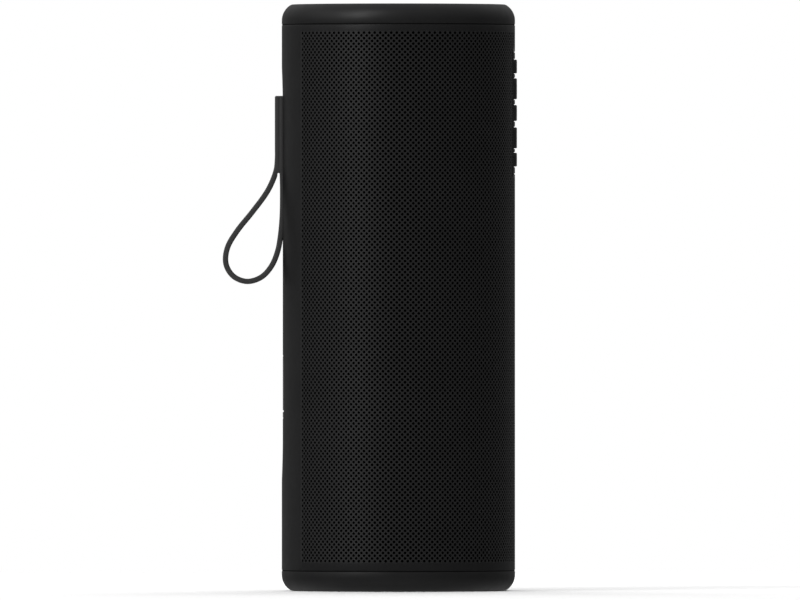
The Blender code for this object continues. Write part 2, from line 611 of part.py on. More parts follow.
def make_main_board():
    board = rectangle(*MAIN_BOARD_SIZE, (0.0, MAIN_BOARD_MIDDLE), 1.5 * MM)
    add("main_board", prism(board, "X", *MAIN_BOARD_X), BOARD_GREEN)
    shape = rectangle(*PORT_SHELL, (0.0, PORT_HEIGHT), 1.6 * MM)
    port = add("charge_port", prism(shape, "X", PORT_MOUTH_X, PORT_BACK_X), STEEL)
    socket = rectangle(*PORT_SOCKET, (0.0, PORT_HEIGHT), 1.25 * MM)
    back = PORT_BACK_X - 2.4 * MM
    modify(port, "DIFFERENCE", tool("port_socket", prism(socket, "X", PORT_MOUTH_X - MM, back)))
    tongue = rectangle(6.6 * MM, 0.7 * MM, (0.0, PORT_HEIGHT))
    modify(port, "UNION", tool("port_tongue", prism(tongue, "X", PORT_MOUTH_X + MM, back + MM)))
    ring = rectangle(PORT_SLOT[0] - 2 * GAP, PORT_SLOT[1] - 2 * GAP, (0.0, PORT_HEIGHT), 1.7 * MM)
    ring = add("port_gasket", prism(ring, "X", -33.2 * MM, -32.0 * MM), RUBBER_BLACK)
    hole = rectangle(PORT_SHELL[0] + 2 * GAP, PORT_SHELL[1] + 2 * GAP, (0.0, PORT_HEIGHT), 1.9 * MM)
    modify(ring, "DIFFERENCE", tool("port_gasket_hole", prism(hole, "X", -CUT_TO, -CUT_FROM)))


def make_port_cover():
    hinge = (COVER_HINGE[0], 0.0, COVER_HINGE[1])
    low = PORT_HEIGHT - 15 * MM
    high = PORT_HEIGHT + 15 * MM
    blank = shell(COVER_INNER, BODY_RADIUS, low, high, pi, radians(16), 8)
    cover = add("port_cover", blank, RUBBER_BLACK, hinge)
    outline = rectangle(*COVER_SIZE, (0.0, PORT_HEIGHT), COVER_CORNER)
    modify(cover, "INTERSECT", tool("cover_outline", prism(outline, "X", -CUT_TO, -CUT_FROM)))
    modify(cover, "DIFFERENCE", SCOOP)
    bung = rectangle(7.4 * MM, 1.7 * MM, (0.0, PORT_HEIGHT), 0.8 * MM)
    modify(cover, "UNION", tool("cover_bung", prism(bung, "X", -35.2 * MM, PORT_MOUTH_X + GAP)))


# Drivers and radiators


def facing(name, side, height):
    """Empty on the housing's flat, with its +Z pointing out of the left (-1) or the right (1) side."""
    empty = bpy.data.objects.new(name, None)
    empty.location = (0.0, side * HOUSING_FLAT, height)
    empty.rotation_euler = (-side * pi / 2, 0.0, 0.0)
    bpy.context.scene.collection.objects.link(empty)
    return empty


def roll(centre, radius, base, steps=4):
    """Half round of a surround in section, from its inner foot over the top to its outer foot."""
    angles = [pi * (1 - i / steps) for i in range(steps + 1)]
    return [(centre + radius * cos(a), base + radius * sin(a)) for a in angles]


def surround_profile(inner, outer, foot_end, base):
    """Rubber half roll between two radii, half a millimetre thick, with a flat foot outside it."""
    skin_thickness = 0.5 * MM
    centre = (inner + outer) / 2
    radius = (outer - inner) / 2
    profile = roll(centre, radius, base)
    profile += [(outer, base + skin_thickness), (foot_end, base + skin_thickness), (foot_end, base)]
    profile += reversed(roll(centre, radius - skin_thickness, base))
    return profile


def in_mm(points):
    return [(u * MM, v * MM) for u, v in points]


def make_driver(side, name):
    parent = facing(f"{name}_driver", side, DRIVER_HEIGHT)
    frame = [(21.5, 0.3), (21.5, 1.6), (17.6, 1.6), (17.6, -0.5), (12.6, -9.0), (7.4, -9.0)]
    frame += [(7.4, -10.4), (13.2, -10.4), (18.8, -1.2), (18.8, 0.3)]
    magnet = [(0.0, -10.7), (5.8, -10.7), (5.8, -16.0), (7.2, -16.0), (7.2, -10.7), (14.0, -10.7)]
    magnet += [(14.0, -18.5), (0.0, -18.5)]
    cone = [(15.8, 1.6), (6.7, -5.6), (5.0, -4.4), (2.6, -3.7), (0.0, -3.5), (0.0, -4.0), (2.6, -4.2)]
    cone += [(5.0, -5.0), (6.3, -6.0), (6.3, -13.5), (6.7, -13.5), (6.7, -6.4), (15.8, 1.1)]
    surround = surround_profile(15.4 * MM, 18.8 * MM, 21.2 * MM, 1.9 * MM)
    pieces = [
        add(f"{name}_driver_frame", turned(in_mm(frame), FINE), STEEL),
        add(f"{name}_driver_magnet", turned(in_mm(magnet), FINE), MAGNET_DARK),
        add(f"{name}_driver_cone", turned(in_mm(cone), FINE), CONE_PAPER),
        add(f"{name}_driver_surround", turned(surround, FINE), RUBBER_BLACK),
    ]
    for piece in pieces:
        piece.parent = parent


def make_radiator(side, name):
    parent = facing(f"{name}_radiator", side, RADIATOR_HEIGHT)
    plate = [(0.0, 1.0), (7.0, 1.0), (7.4, 0.0), (13.3, 0.0), (13.3, -1.7), (0.0, -1.7)]
    surround = surround_profile(12.6 * MM, 16.9 * MM, 21.5 * MM, 0.3 * MM)
    pieces = [
        add(f"{name}_radiator_plate", turned(in_mm(plate), FINE), MAGNET_DARK),
        add(f"{name}_radiator_surround", turned(surround, FINE), RUBBER_BLACK),
    ]
    for piece in pieces:
        piece.parent = parent


# Strap


def make_strap():
    middle_x = (STRAP_OUTER_X + STRAP_INNER_X) / 2
    depth = STRAP_INNER_X - STRAP_OUTER_X
    outline = rectangle(depth, TAB_HIGH - TAB_LOW, (middle_x, (TAB_LOW + TAB_HIGH) / 2), 0.3 * MM, 2)
    tab = add("strap_tab", prism(outline, "Y", -STRAP_WIDTH / 2, STRAP_WIDTH / 2), STRAP_GREY)
    seat = 0.15 * MM + SCREW_HEAD_HEIGHT + GAP
    hole = hole_profile(-MM, seat, 4 * MM)
    sideways = turned(hole, SMALL)
    turn = Matrix.Translation((STRAP_OUTER_X, 0.0, STRAP_SCREW_HEIGHT)) @ Matrix.Rotation(pi / 2, 4, "Y")
    bmesh.ops.transform(sideways, matrix=turn, verts=sideways.verts)
    modify(tab, "DIFFERENCE", tool("tab_hole", sideways))
    head = STRAP_OUTER_X + 0.15 * MM
    add_screw("strap_screw", (head, 0.0, STRAP_SCREW_HEIGHT), pi / 2, STRAP_SCREW_TIP - head)

    route = smooth([(x * MM, z * MM) for x, z in STRAP_ROUTE], 3)
    half = STRAP_THICKNESS / 2
    rings = []
    for i, point in enumerate(route):
        along = (route[min(i + 1, len(route) - 1)] - route[max(i - 1, 0)]).normalized()
        side = Vector((-along[1], along[0])) * half
        near, far = point + side, point - side
        width = STRAP_WIDTH / 2
        rings.append([(near[0], -width, near[1]), (far[0], -width, far[1]),
                      (far[0], width, far[1]), (near[0], width, near[1])])
    hinge = (STRAP_HINGE[0], 0.0, STRAP_HINGE[1])
    loop = add("strap_loop", skin(rings), STRAP_GREY, hinge)
    neck = rectangle(depth, TAB_LOW - GAP - STRAP_CROTCH, (middle_x, (TAB_LOW - GAP + STRAP_CROTCH) / 2))
    modify(loop, "UNION", tool("strap_neck", prism(neck, "Y", -STRAP_WIDTH / 2, STRAP_WIDTH / 2)))


SCOOP = scoop_tool()
make_top_cap()
make_bottom_cap()
make_sleeve()
make_buttons()
make_button_ribbon()
make_housing()
make_lid()
make_battery()
make_main_board()
make_port_cover()
for side_sign, side_name in ((-1, "left"), (1, "right")):
    make_driver(side_sign, side_name)
    make_radiator(side_sign, side_name)
make_strap()
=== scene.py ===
"""Finished looks of the shower speaker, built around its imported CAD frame.

The shapes below are written in millimetres and turned into metres where a mesh is made. The buttons
face +X, the strap and the charging port face -X, and the camera looks along +Y at the left side.
"""

import json
from math import asin, atan2, ceil, cos, hypot, pi, radians, sin, sqrt

import bmesh
import bpy
from mathutils import Matrix, Vector
from mathutils.geometry import delaunay_2d_cdt


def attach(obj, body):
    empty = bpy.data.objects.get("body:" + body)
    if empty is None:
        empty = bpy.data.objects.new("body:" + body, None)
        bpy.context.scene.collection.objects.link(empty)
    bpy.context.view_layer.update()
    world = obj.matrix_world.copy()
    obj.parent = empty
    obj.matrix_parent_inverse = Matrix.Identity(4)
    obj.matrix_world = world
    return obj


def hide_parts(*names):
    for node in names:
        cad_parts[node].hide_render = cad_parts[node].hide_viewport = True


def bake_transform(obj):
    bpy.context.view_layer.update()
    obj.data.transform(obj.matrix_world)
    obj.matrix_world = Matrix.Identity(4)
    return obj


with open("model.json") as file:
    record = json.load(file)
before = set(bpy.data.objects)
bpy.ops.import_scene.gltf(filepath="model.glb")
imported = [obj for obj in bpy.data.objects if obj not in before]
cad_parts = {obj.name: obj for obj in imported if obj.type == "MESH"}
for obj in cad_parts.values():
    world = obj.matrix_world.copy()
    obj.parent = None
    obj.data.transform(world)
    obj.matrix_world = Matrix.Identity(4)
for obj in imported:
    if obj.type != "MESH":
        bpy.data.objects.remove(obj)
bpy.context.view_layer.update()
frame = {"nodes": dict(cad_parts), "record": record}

MM = 0.001
ROOT = "speaker_body"

# A point this far off an outline still counts as on it
TOUCH = 1e-3

# Outside of the speaker, as in the CAD
RADIUS = 36.6
HEIGHT = 184.0

# Sleeve between the two seams, which is the sheet and the spine, and how round its edges are
SEAM = 6.34
SEAM_HALF = 0.18
SLEEVE_LOW = SEAM + SEAM_HALF
SLEEVE_HIGH = HEIGHT - SLEEVE_LOW
SLEEVE_EDGE = 0.26
SIDE_EDGE = 0.06

# Caps: flat top, radius and middle of the round rim, ring in the seam, and skirt inside the sleeve
TOP_FLAT = 20.0
RIM = 5.65
RIM_CENTRE = 5.02
RIM_END = 5.3
SEAM_RING = 36.25
GASKET_FACE = 36.5
SKIRT_OUTER = 33.9
SKIRT_INNER = 31.8
TOP_SKIRT_END = 8.8
BOTTOM_SKIRT_END = 8.2
TOP_WALL = 2.8
BOTTOM_WALL = 3.8
CAP_STEPS = 192

# Foot, in a recess under the bottom cap
FOOT_RADIUS = 30.0
FOOT_RECESS = 1.3
FOOT_BACK = 1.0
FOOT_GROOVE = 0.25

# Perforated sheet, with a window for the buttons
BUTTONS_MIDDLE = 149.95
SHEET_BACK = 35.9
HOLE_RADIUS = 0.455
ROWS = 193
ROW_PITCH = 0.8605
TOP_ROW = 174.83
COLUMN_ANGLE = radians(1.3554)
SECTORS = ["rear_left", "left", "front", "right", "rear_right"]
SECTOR_COLUMNS = 43
LAST_COLUMN = SECTOR_COLUMNS * len(SECTORS) // 2
WINDOW = ((0.0, BUTTONS_MIDDLE), (12.5, 38.5), 3.25)
WINDOW_EDGE = 0.2
WINDOW_LAST_COLUMN = 8
WINDOW_ROWS = (6, 52)
SHEET_END = radians(146.74)
SPINE_HALF_ANGLE = radians(33.2)

# Buttons: name, height of the middle, length along Z
BUTTONS = [
    ("power", 164.55, 4.3),
    ("volume_up", 157.55, 6.55),
    ("play", BUTTONS_MIDDLE, 4.96),
    ("volume_down", 142.15, 6.55),
    ("pairing", 135.30, 4.3),
]
BUTTON_FACE = 37.21

# Rear: a long flat that runs out in an arc at each end, the strap's channel, and the port's cover.
# Each box is its middle, its size and its corner radius.
SCOOP_X = 36.28
SCOOP_LOW = 48.4
SCOOP_HIGH = 150.4
SCOOP_RUNOUT = 296.0
CHANNEL = ((0.0, 119.9), (8.4, 71.8), 1.5)
CHANNEL_FLOOR = 35.2
SPINE_BACK = 34.2
PORT_HEIGHT = 64.0
COVER = ((0.0, PORT_HEIGHT), (14.0, 19.4), 3.0)
COVER_OPENING = ((0.0, PORT_HEIGHT), (14.5, 19.9), 3.25)

# Surrounds: name, moving body, height of the middle, then inside and outside radius of the roll,
# outside radius of the foot and height of the base
HOUSING_FLAT = 24.5
SURROUND_SECTORS = 12
SURROUNDS = [
    ("driver", "cone", 147.0, 15.4, 18.8, 21.2, 1.9),
    ("radiator", "radiator", 36.0, 12.6, 16.9, 21.5, 0.3),
]

# Strap, edge on in the XZ plane. Its route runs down from the outside of the tab, round the loop and
# back up along the body.
STRAP_THICKNESS = 1.70
STRAP_HALF_WIDTH = 3.8
TAB_OUTER = -38.78
TAB_INNER = -35.84
TAB_TOP = 155.3
STRAP_CROTCH = 131.1
STRAP_SCREW_HEIGHT = 147.0
STRAP_SCREW_TIP = -32.9
STRAP_ROUTE = [
    (-37.93, 139.0),
    (-37.96, 135.4),
    (-38.55, 131.2),
    (-41.16, 125.3),
    (-45.83, 118.9),
    (-50.49, 113.1),
    (-53.60, 107.8),
    (-54.14, 102.7),
    (-51.80, 98.72),
    (-47.50, 97.08),
    (-43.00, 98.45),
    (-39.78, 101.98),
    (-37.85, 106.7),
    (-36.95, 111.8),
    (-36.45, 117.5),
    (-36.33, 124.0),
    (-36.40, 130.0),
    (-36.55, 135.0),
    (-36.69, 139.0),
]


# Outlines in a plane


def rounded(points, radius, steps=4):
    """Open line with its corners rounded. radius is one number, or one for each corner."""
    result = [tuple(points[0])]
    for i, point in enumerate(points[1:-1]):
        r = radius[i] if isinstance(radius, list) else radius
        here = Vector(point)
        before = (Vector(points[i]) - here).normalized()
        after = (Vector(points[i + 2]) - here).normalized()
        half = before.angle(after) / 2
        centre = here + (before + after).normalized() * r / sin(half)
        reach = r * cos(half) / sin(half)
        first = here + before * reach - centre
        last = here + after * reach - centre
        start = atan2(first.y, first.x)
        turn = (atan2(last.y, last.x) - start + pi) % (2 * pi) - pi
        for k in range(steps + 1):
            angle = start + turn * k / steps
            result.append((centre.x + r * cos(angle), centre.y + r * sin(angle)))
    result.append(tuple(points[-1]))
    return result


def divided(loop, longest):
    """Closed outline with no side longer than a limit."""
    result = []
    for i, (u, v) in enumerate(loop):
        un, vn = loop[(i + 1) % len(loop)]
        parts = max(1, ceil(hypot(un - u, vn - v) / longest))
        result += [(u + (un - u) * k / parts, v + (vn - v) * k / parts) for k in range(parts)]
    return result


def box_distance(u, v, box):
    """Distance from a round-cornered rectangle, negative inside it."""
    (cu, cv), (width, height), corner = box
    du = abs(u - cu) - width / 2 + corner
    dv = abs(v - cv) - height / 2 + corner
    return hypot(max(du, 0.0), max(dv, 0.0)) + min(max(du, dv), 0.0) - corner


def box_loop(box, grow, longest, steps=5):
    """Outline of a round-cornered rectangle, grown by a distance."""
    (cu, cv), (width, height), corner = box
    corner = max(corner + grow, 0.05)
    across = width / 2 + grow - corner
    up = height / 2 + grow - corner
    points = []
    for quarter, (su, sv) in enumerate([(1, 1), (-1, 1), (-1, -1), (1, -1)]):
        for i in range(steps + 1):
            angle = (quarter + i / steps) * pi / 2
            points.append((cu + su * across + corner * cos(angle), cv + sv * up + corner * sin(angle)))
    return divided(points, longest)


def smooth(points, per_span):
    """Catmull-Rom curve through points in a plane."""
    first = 2 * Vector(points[0]) - Vector(points[1])
    last = 2 * Vector(points[-1]) - Vector(points[-2])
    ends = [first, *map(Vector, points), last]
    route = []
    for i in range(1, len(ends) - 2):
        a, b, c, d = ends[i - 1 : i + 3]
        for k in range(per_span):
            t = k / per_span
            bend = (2 * a - 5 * b + 4 * c - d) * t**2 + (3 * b - a - 3 * c + d) * t**3
            route.append(b + ((c - a) * t + bend) / 2)
    route.append(ends[-2])
    return route


def rounding(distance, radius):
    """How far a surface has dropped at a distance from an edge that is rounded to a radius."""
    if distance >= radius:
        return 0.0
    inward = radius - max(distance, 0.0)
    return radius - sqrt(max(radius**2 - inward**2, 0.0))


def edge_steps(radius):
    """Distances from an edge at which a rounding needs a line of points."""
    return [radius * share for share in (0.0, 0.03, 0.13, 0.3, 0.55, 1.0)]


def ease(share):
    """Smooth step from 0 to 1, level at both ends."""
    share = max(0.0, min(1.0, share))
    return share * share * (3 - 2 * share)


# Meshes


def add_object(name, data):
    made = bpy.data.objects.new(name, data)
    bpy.context.scene.collection.objects.link(made)
    return made


def piece(name, bm, slot, body, stands_for=(), crease=40, finish=None):
    """Object from a bmesh in millimetres, riding on a CAD body, with its slot's finish or its own."""
    bmesh.ops.scale(bm, vec=(MM, MM, MM), verts=bm.verts)
    bmesh.ops.remove_doubles(bm, verts=bm.verts, dist=1e-7)
    bmesh.ops.recalc_face_normals(bm, faces=bm.faces)
    mesh = bpy.data.meshes.new(name)
    bm.to_mesh(mesh)
    bm.free()
    mesh.shade_smooth()
    mesh.set_sharp_from_angle(angle=radians(crease))
    mesh.materials.append(finish or FINISHES[slot])
    made = add_object(name, mesh)
    if body:
        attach(made, body)
    if stands_for:
        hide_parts(*stands_for)
    return made


def lathe(profile, steps, place=None):
    """Closed outline of (radius, height) points turned about Z, then moved by a matrix."""
    bm = bmesh.new()
    rings = []
    for radius, height in profile:
        if radius < 1e-6:
            rings.append([bm.verts.new((0.0, 0.0, height))])
            continue
        angles = [2 * pi * i / steps for i in range(steps)]
        rings.append([bm.verts.new((radius * cos(a), radius * sin(a), height)) for a in angles])
    for near, far in zip(rings, rings[1:] + rings[:1]):
        for i in range(steps):
            corners = [near[(i - 1) % len(near)], near[i % len(near)]]
            corners += [far[i % len(far)], far[(i - 1) % len(far)]]
            corners = list(dict.fromkeys(corners))
            if len(corners) > 2:
                bm.faces.new(corners)
    if place:
        bmesh.ops.transform(bm, matrix=place, verts=bm.verts)
    return bm


def triangles(loops, points, keep):
    """Triangles of the part of a plane that keep() allows, with an edge along every loop."""
    places = [Vector(p) for loop in loops for p in loop]
    edges = []
    base = 0
    for loop in loops:
        count = len(loop)
        edges += [(base + i, base + (i + 1) % count) for i in range(count)]
        base += count
    places += [Vector(p) for p in points]
    flat, _, faces, *_ = delaunay_2d_cdt(places, edges, [], 0, 1e-5)
    kept = []
    for face in faces:
        middle = sum((flat[i] for i in face), Vector((0.0, 0.0))) / len(face)
        if keep(middle.x, middle.y):
            kept.append(tuple(face))
    return flat, kept


def plate(loops, points, keep, front, back):
    """Closed plate over a region of a plane. front() and back() give the point in space over (u, v)."""
    flat, faces = triangles(loops, points, keep)
    bm = bmesh.new()
    used = sorted({i for face in faces for i in face})
    near = {i: bm.verts.new(front(flat[i].x, flat[i].y)) for i in used}
    far = {i: bm.verts.new(back(flat[i].x, flat[i].y)) for i in used}
    rim = {}
    for face in faces:
        bm.faces.new([near[i] for i in face])
        bm.faces.new([far[i] for i in reversed(face)])
        for a, b in zip(face, face[1:] + face[:1]):
            rim[frozenset((a, b))] = None if frozenset((a, b)) in rim else (a, b)
    for side in filter(None, rim.values()):
        a, b = side
        bm.faces.new([near[b], near[a], far[a], far[b]])
    return bm


def flat_face(x):
    """Face of a plate that stands flat across X."""
    return lambda y, z: (x, y, z)


def difference(bm, cutter):
    """Closed shape with another taken away from it."""
    pair = []
    for shape in (bm, cutter):
        bmesh.ops.recalc_face_normals(shape, faces=shape.faces)
        mesh = bpy.data.meshes.new("shape")
        shape.to_mesh(mesh)
        shape.free()
        pair.append(add_object("shape", mesh))
    modifier = pair[0].modifiers.new("cut", "BOOLEAN")
    modifier.object = pair[1]
    result = bmesh.new()
    result.from_object(pair[0], bpy.context.evaluated_depsgraph_get())
    for made in pair:
        mesh = made.data
        bpy.data.objects.remove(made)
        bpy.data.meshes.remove(mesh)
    return result


def grid(low, high, step_u, step_v, keep):
    """Loose points of a grid inside a rectangle."""
    across = max(1, round((high[0] - low[0]) / step_u))
    up = max(1, round((high[1] - low[1]) / step_v))
    points = []
    for i in range(across + 1):
        for j in range(up + 1):
            u = low[0] + (high[0] - low[0]) * i / across
            v = low[1] + (high[1] - low[1]) * j / up
            if keep(u, v):
                points.append((u, v))
    return points


# Materials


def add_node(tree, kind, inputs=None, **settings):
    """New shader node. inputs gives each of its sockets a value or another node's output."""
    made = tree.nodes.new(f"ShaderNode{kind}")
    for name, value in settings.items():
        setattr(made, name, value)
    for name, value in (inputs or {}).items():
        if isinstance(value, bpy.types.NodeSocket):
            tree.links.new(value, made.inputs[name])
        else:
            made.inputs[name].default_value = value
    return made


def map_range(tree, source, start, end, low, high, **settings):
    """Value that goes from low to high while another goes from start to end."""
    ends = {"Value": source, "From Min": start, "From Max": end, "To Min": low, "To Max": high}
    return add_node(tree, "MapRange", ends, **settings).outputs["Result"]


class Finish:
    """Node tree of a procedural material, in object space, whose patterns are scaled in millimetres."""

    def __init__(self, name, roughness, metallic=0.0, specular=0.5, coat=0.0, sheen=0.0):
        self.made = bpy.data.materials.new(name)
        self.made.use_nodes = True
        self.tree = self.made.node_tree
        self.shader = self.tree.nodes["Principled BSDF"]
        values = {"Roughness": roughness, "Metallic": metallic, "Specular IOR Level": specular}
        values |= {"Coat Weight": coat, "Sheen Weight": sheen}
        for socket, value in values.items():
            self.shader.inputs[socket].default_value = value
        self.place = self.node("TexCoord").outputs["Object"]

    def node(self, kind, inputs=None, **settings):
        return add_node(self.tree, kind, inputs, **settings)

    def feed(self, source, socket):
        """Drives a socket of the shader."""
        self.tree.links.new(source, self.shader.inputs[socket])

    def texture(self, kind, size, inputs=None, **settings):
        """Outputs of a texture whose features are about this many millimetres across."""
        inputs = {"Vector": self.place, "Scale": 1.0 / (size * MM)} | (inputs or {})
        return self.node(kind, inputs, **settings).outputs

    def noise(self, size, detail=3.0, stretch=None):
        inputs = {"Detail": detail}
        if stretch:
            mapping = self.node("Mapping", {"Vector": self.place, "Scale": stretch})
            inputs["Vector"] = mapping.outputs["Vector"]
        return self.texture("TexNoise", size, inputs)["Fac"]

    def bands(self, size, axis):
        """Waves that follow one another along an axis."""
        return self.texture("TexWave", size, bands_direction=axis)["Fac"]

    def math(self, operation, a, b=0.0):
        return self.node("Math", {0: a, 1: b}, operation=operation).outputs["Value"]

    def colour(self, source, *stops):
        """Colours at positions along a value, as (position, colour)."""
        ramp = self.node("ValToRGB", {"Fac": source})
        band = ramp.color_ramp.elements
        while len(band) < len(stops):
            band.new(0.5)
        for element, (position, colour) in zip(band, stops):
            element.position = position
            element.color = (*colour, 1.0)
        self.feed(ramp.outputs["Color"], "Base Color")

    def rough(self, source, low, high):
        self.feed(map_range(self.tree, source, 0.3, 0.7, low, high), "Roughness")

    def bump(self, source, depth, strength=1.0):
        """Relief of this many millimetres."""
        inputs = {"Height": source, "Strength": strength, "Distance": depth * MM}
        self.feed(self.node("Bump", inputs).outputs["Normal"], "Normal")


def moulded(name, dark, light, roughness, grain=0.16, depth=0.006, specular=0.24):
    """Moulded plastic with a fine spark-eroded grain."""
    finish = Finish(name, roughness, specular=specular)
    finish.colour(finish.noise(9.0), (0.3, dark), (0.7, light))
    finish.rough(finish.noise(2.4), roughness - 0.03, roughness + 0.03)
    finish.bump(finish.noise(grain, 2.0), depth)
    return finish.made


def soft_rubber(name, dark, light, roughness):
    """Silicone or rubber with a dusty, very fine grain."""
    finish = Finish(name, roughness, specular=0.3, sheen=0.12)
    finish.colour(finish.noise(5.0, 5.0), (0.3, dark), (0.7, light))
    finish.rough(finish.noise(1.1), roughness - 0.05, roughness + 0.05)
    finish.bump(finish.noise(0.12, 2.0), 0.005)
    return finish.made


def metal(name, dark, light, roughness):
    """Plated metal with a fine uneven grain."""
    finish = Finish(name, roughness, metallic=1.0)
    grain = finish.noise(0.25, 4.0)
    finish.colour(grain, (0.3, dark), (0.7, light))
    finish.rough(grain, roughness - 0.07, roughness + 0.07)
    finish.bump(grain, 0.003)
    return finish.made


def powder_coated():
    """Coated perforated sheet, faintly uneven like sprayed paint, and duller on its plain margins."""
    finish = Finish("grille_coat", 0.40)
    height = finish.node("SeparateXYZ", {"Vector": finish.place}).outputs["Z"]
    half = ROWS * ROW_PITCH / 2
    middle = TOP_ROW + ROW_PITCH / 2 - half
    beyond = finish.math("ABSOLUTE", finish.math("SUBTRACT", height, middle * MM))
    margin = map_range(finish.tree, beyond, (half - 0.1) * MM, (half + 0.3) * MM, 0.34, 0.20)
    finish.feed(margin, "Specular IOR Level")
    finish.colour(finish.noise(14.0), (0.3, (0.0060, 0.0060, 0.0062)), (0.7, (0.0075, 0.0075, 0.0078)))
    finish.rough(finish.noise(3.0), 0.38, 0.43)
    finish.bump(finish.noise(0.22, 2.0), 0.004)
    return finish.made


def woven_cloth():
    """Acoustic cloth, a plain weave of fine threads."""
    finish = Finish("acoustic_cloth", 0.95, specular=0.1)
    weave = finish.math("MULTIPLY", finish.bands(1.6, "Z"), finish.bands(1.6, "X"))
    finish.colour(weave, (0.0, (0.0008, 0.0008, 0.0008)), (1.0, (0.0035, 0.0035, 0.0036)))
    finish.bump(weave, 0.05)
    return finish.made


def circuit_board():
    """Solder mask that shows branching copper tracks."""
    finish = Finish("circuit_board", 0.38, coat=0.2)
    tracks = finish.texture("TexVoronoi", 3.2, feature="DISTANCE_TO_EDGE")["Distance"]
    finish.colour(
        tracks,
        (0.0, (0.012, 0.055, 0.024)),
        (0.06, (0.012, 0.060, 0.026)),
        (0.09, (0.008, 0.034, 0.016)),
        (1.0, (0.009, 0.038, 0.017)),
    )
    finish.bump(tracks, 0.03, 0.5)
    return finish.made


def battery_wrap():
    """Shrink film with faint wrinkles round a cell."""
    finish = Finish("battery_wrap", 0.32, coat=0.3)
    wrinkles = finish.noise(4.0, 4.0, (1.0, 1.0, 0.15))
    finish.colour(wrinkles, (0.3, (0.03, 0.11, 0.27)), (0.7, (0.05, 0.15, 0.34)))
    finish.bump(wrinkles, 0.08)
    return finish.made


def speaker_paper():
    """Pressed pulp with short fibres."""
    finish = Finish("cone_pulp", 0.85, specular=0.25)
    fibres = finish.noise(0.5, 6.0, (1.0, 0.4, 1.0))
    finish.colour(fibres, (0.3, (0.014, 0.014, 0.014)), (0.7, (0.034, 0.033, 0.032)))
    finish.bump(fibres, 0.06)
    return finish.made


def flex_film():
    """Amber film over copper conductors."""
    finish = Finish("flex_film", 0.30, coat=0.5)
    lines = finish.bands(2.0, "Y")
    finish.colour(lines, (0.45, (0.42, 0.18, 0.03)), (0.55, (0.62, 0.33, 0.09)))
    finish.bump(lines, 0.02)
    return finish.made


# Finish of each material slot in the record, then of the parts that have one of their own
FINISHES = {
    "shell_black": moulded("shell_plastic", (0.0060, 0.0060, 0.0062), (0.0078, 0.0078, 0.0080), 0.42),
    "grille_black": powder_coated(),
    "mesh_black": woven_cloth(),
    "button_black": moulded("button_plastic", (0.0090, 0.0090, 0.0090), (0.0115, 0.0115, 0.0116), 0.44),
    "strap_grey": soft_rubber("strap_silicone", (0.030, 0.030, 0.030), (0.036, 0.036, 0.036), 0.62),
    "rubber_black": soft_rubber("black_rubber", (0.010, 0.010, 0.010), (0.014, 0.014, 0.014), 0.70),
    "housing_grey": moulded(
        "housing_plastic", (0.038, 0.038, 0.042), (0.050, 0.050, 0.054), 0.55, grain=0.4, depth=0.02
    ),
    "board_green": circuit_board(),
    "switch_grey": moulded("switch_plastic", (0.26, 0.26, 0.27), (0.32, 0.32, 0.33), 0.42),
    "cell_wrap": battery_wrap(),
    "holder_white": moulded(
        "holder_plastic", (0.54, 0.54, 0.52), (0.62, 0.62, 0.60), 0.5, grain=0.3, depth=0.01
    ),
    "steel": metal("plated_steel", (0.46, 0.46, 0.47), (0.62, 0.62, 0.63), 0.30),
    "magnet_dark": metal("dark_plating", (0.06, 0.06, 0.068), (0.10, 0.10, 0.108), 0.42),
    "cone_paper": speaker_paper(),
    "copper_flex": flex_film(),
    "lead_red": soft_rubber("lead_jacket", (0.36, 0.014, 0.014), (0.46, 0.022, 0.020), 0.45),
}
ICON = moulded("icon_print", (0.095, 0.095, 0.097), (0.115, 0.115, 0.117), 0.55)
GOLD = metal("contact_gold", (0.75, 0.50, 0.16), (0.92, 0.66, 0.27), 0.22)
# Seam gaskets: a real shallow ring in each seam, coloured far darker than the rubber as painted shade
# standing in for the shadow in the seam's groove
SEAM_SHADE_GASKET = moulded("seam_shade_gasket", (0.0016, 0.0016, 0.0016), (0.0024, 0.0024, 0.0024), 0.6, specular=0.08)
TONGUE = moulded("tongue_plastic", (0.012, 0.012, 0.012), (0.016, 0.016, 0.016), 0.4)


def dress_cad_nodes():
    """Gives every CAD node the finish of its slot, and a fine bevel on its sharp edges."""
    slots = {row["node"]: row["material_slot"] for row in frame["record"]["subparts"]}
    for name, node in frame["nodes"].items():
        node.data.materials.clear()
        node.data.materials.append(FINISHES[slots[name]])
        bevel = node.modifiers.new("edge", "BEVEL")
        bevel.width = 0.12 * MM
        bevel.segments = 2
        bevel.limit_method = "ANGLE"
        bevel.angle_limit = radians(40)


# Caps and foot


def rim_arc(first_height):
    """Round rim of a cap as (radius, height above the cap's end), from its end out to its side."""
    steps = 16
    start = -asin((RIM_CENTRE - first_height) / RIM)
    angles = [start * (1 - i / steps) for i in range(steps + 1)]
    return [(RADIUS - RIM + RIM * cos(a), RIM_CENTRE + RIM * sin(a)) for a in angles]


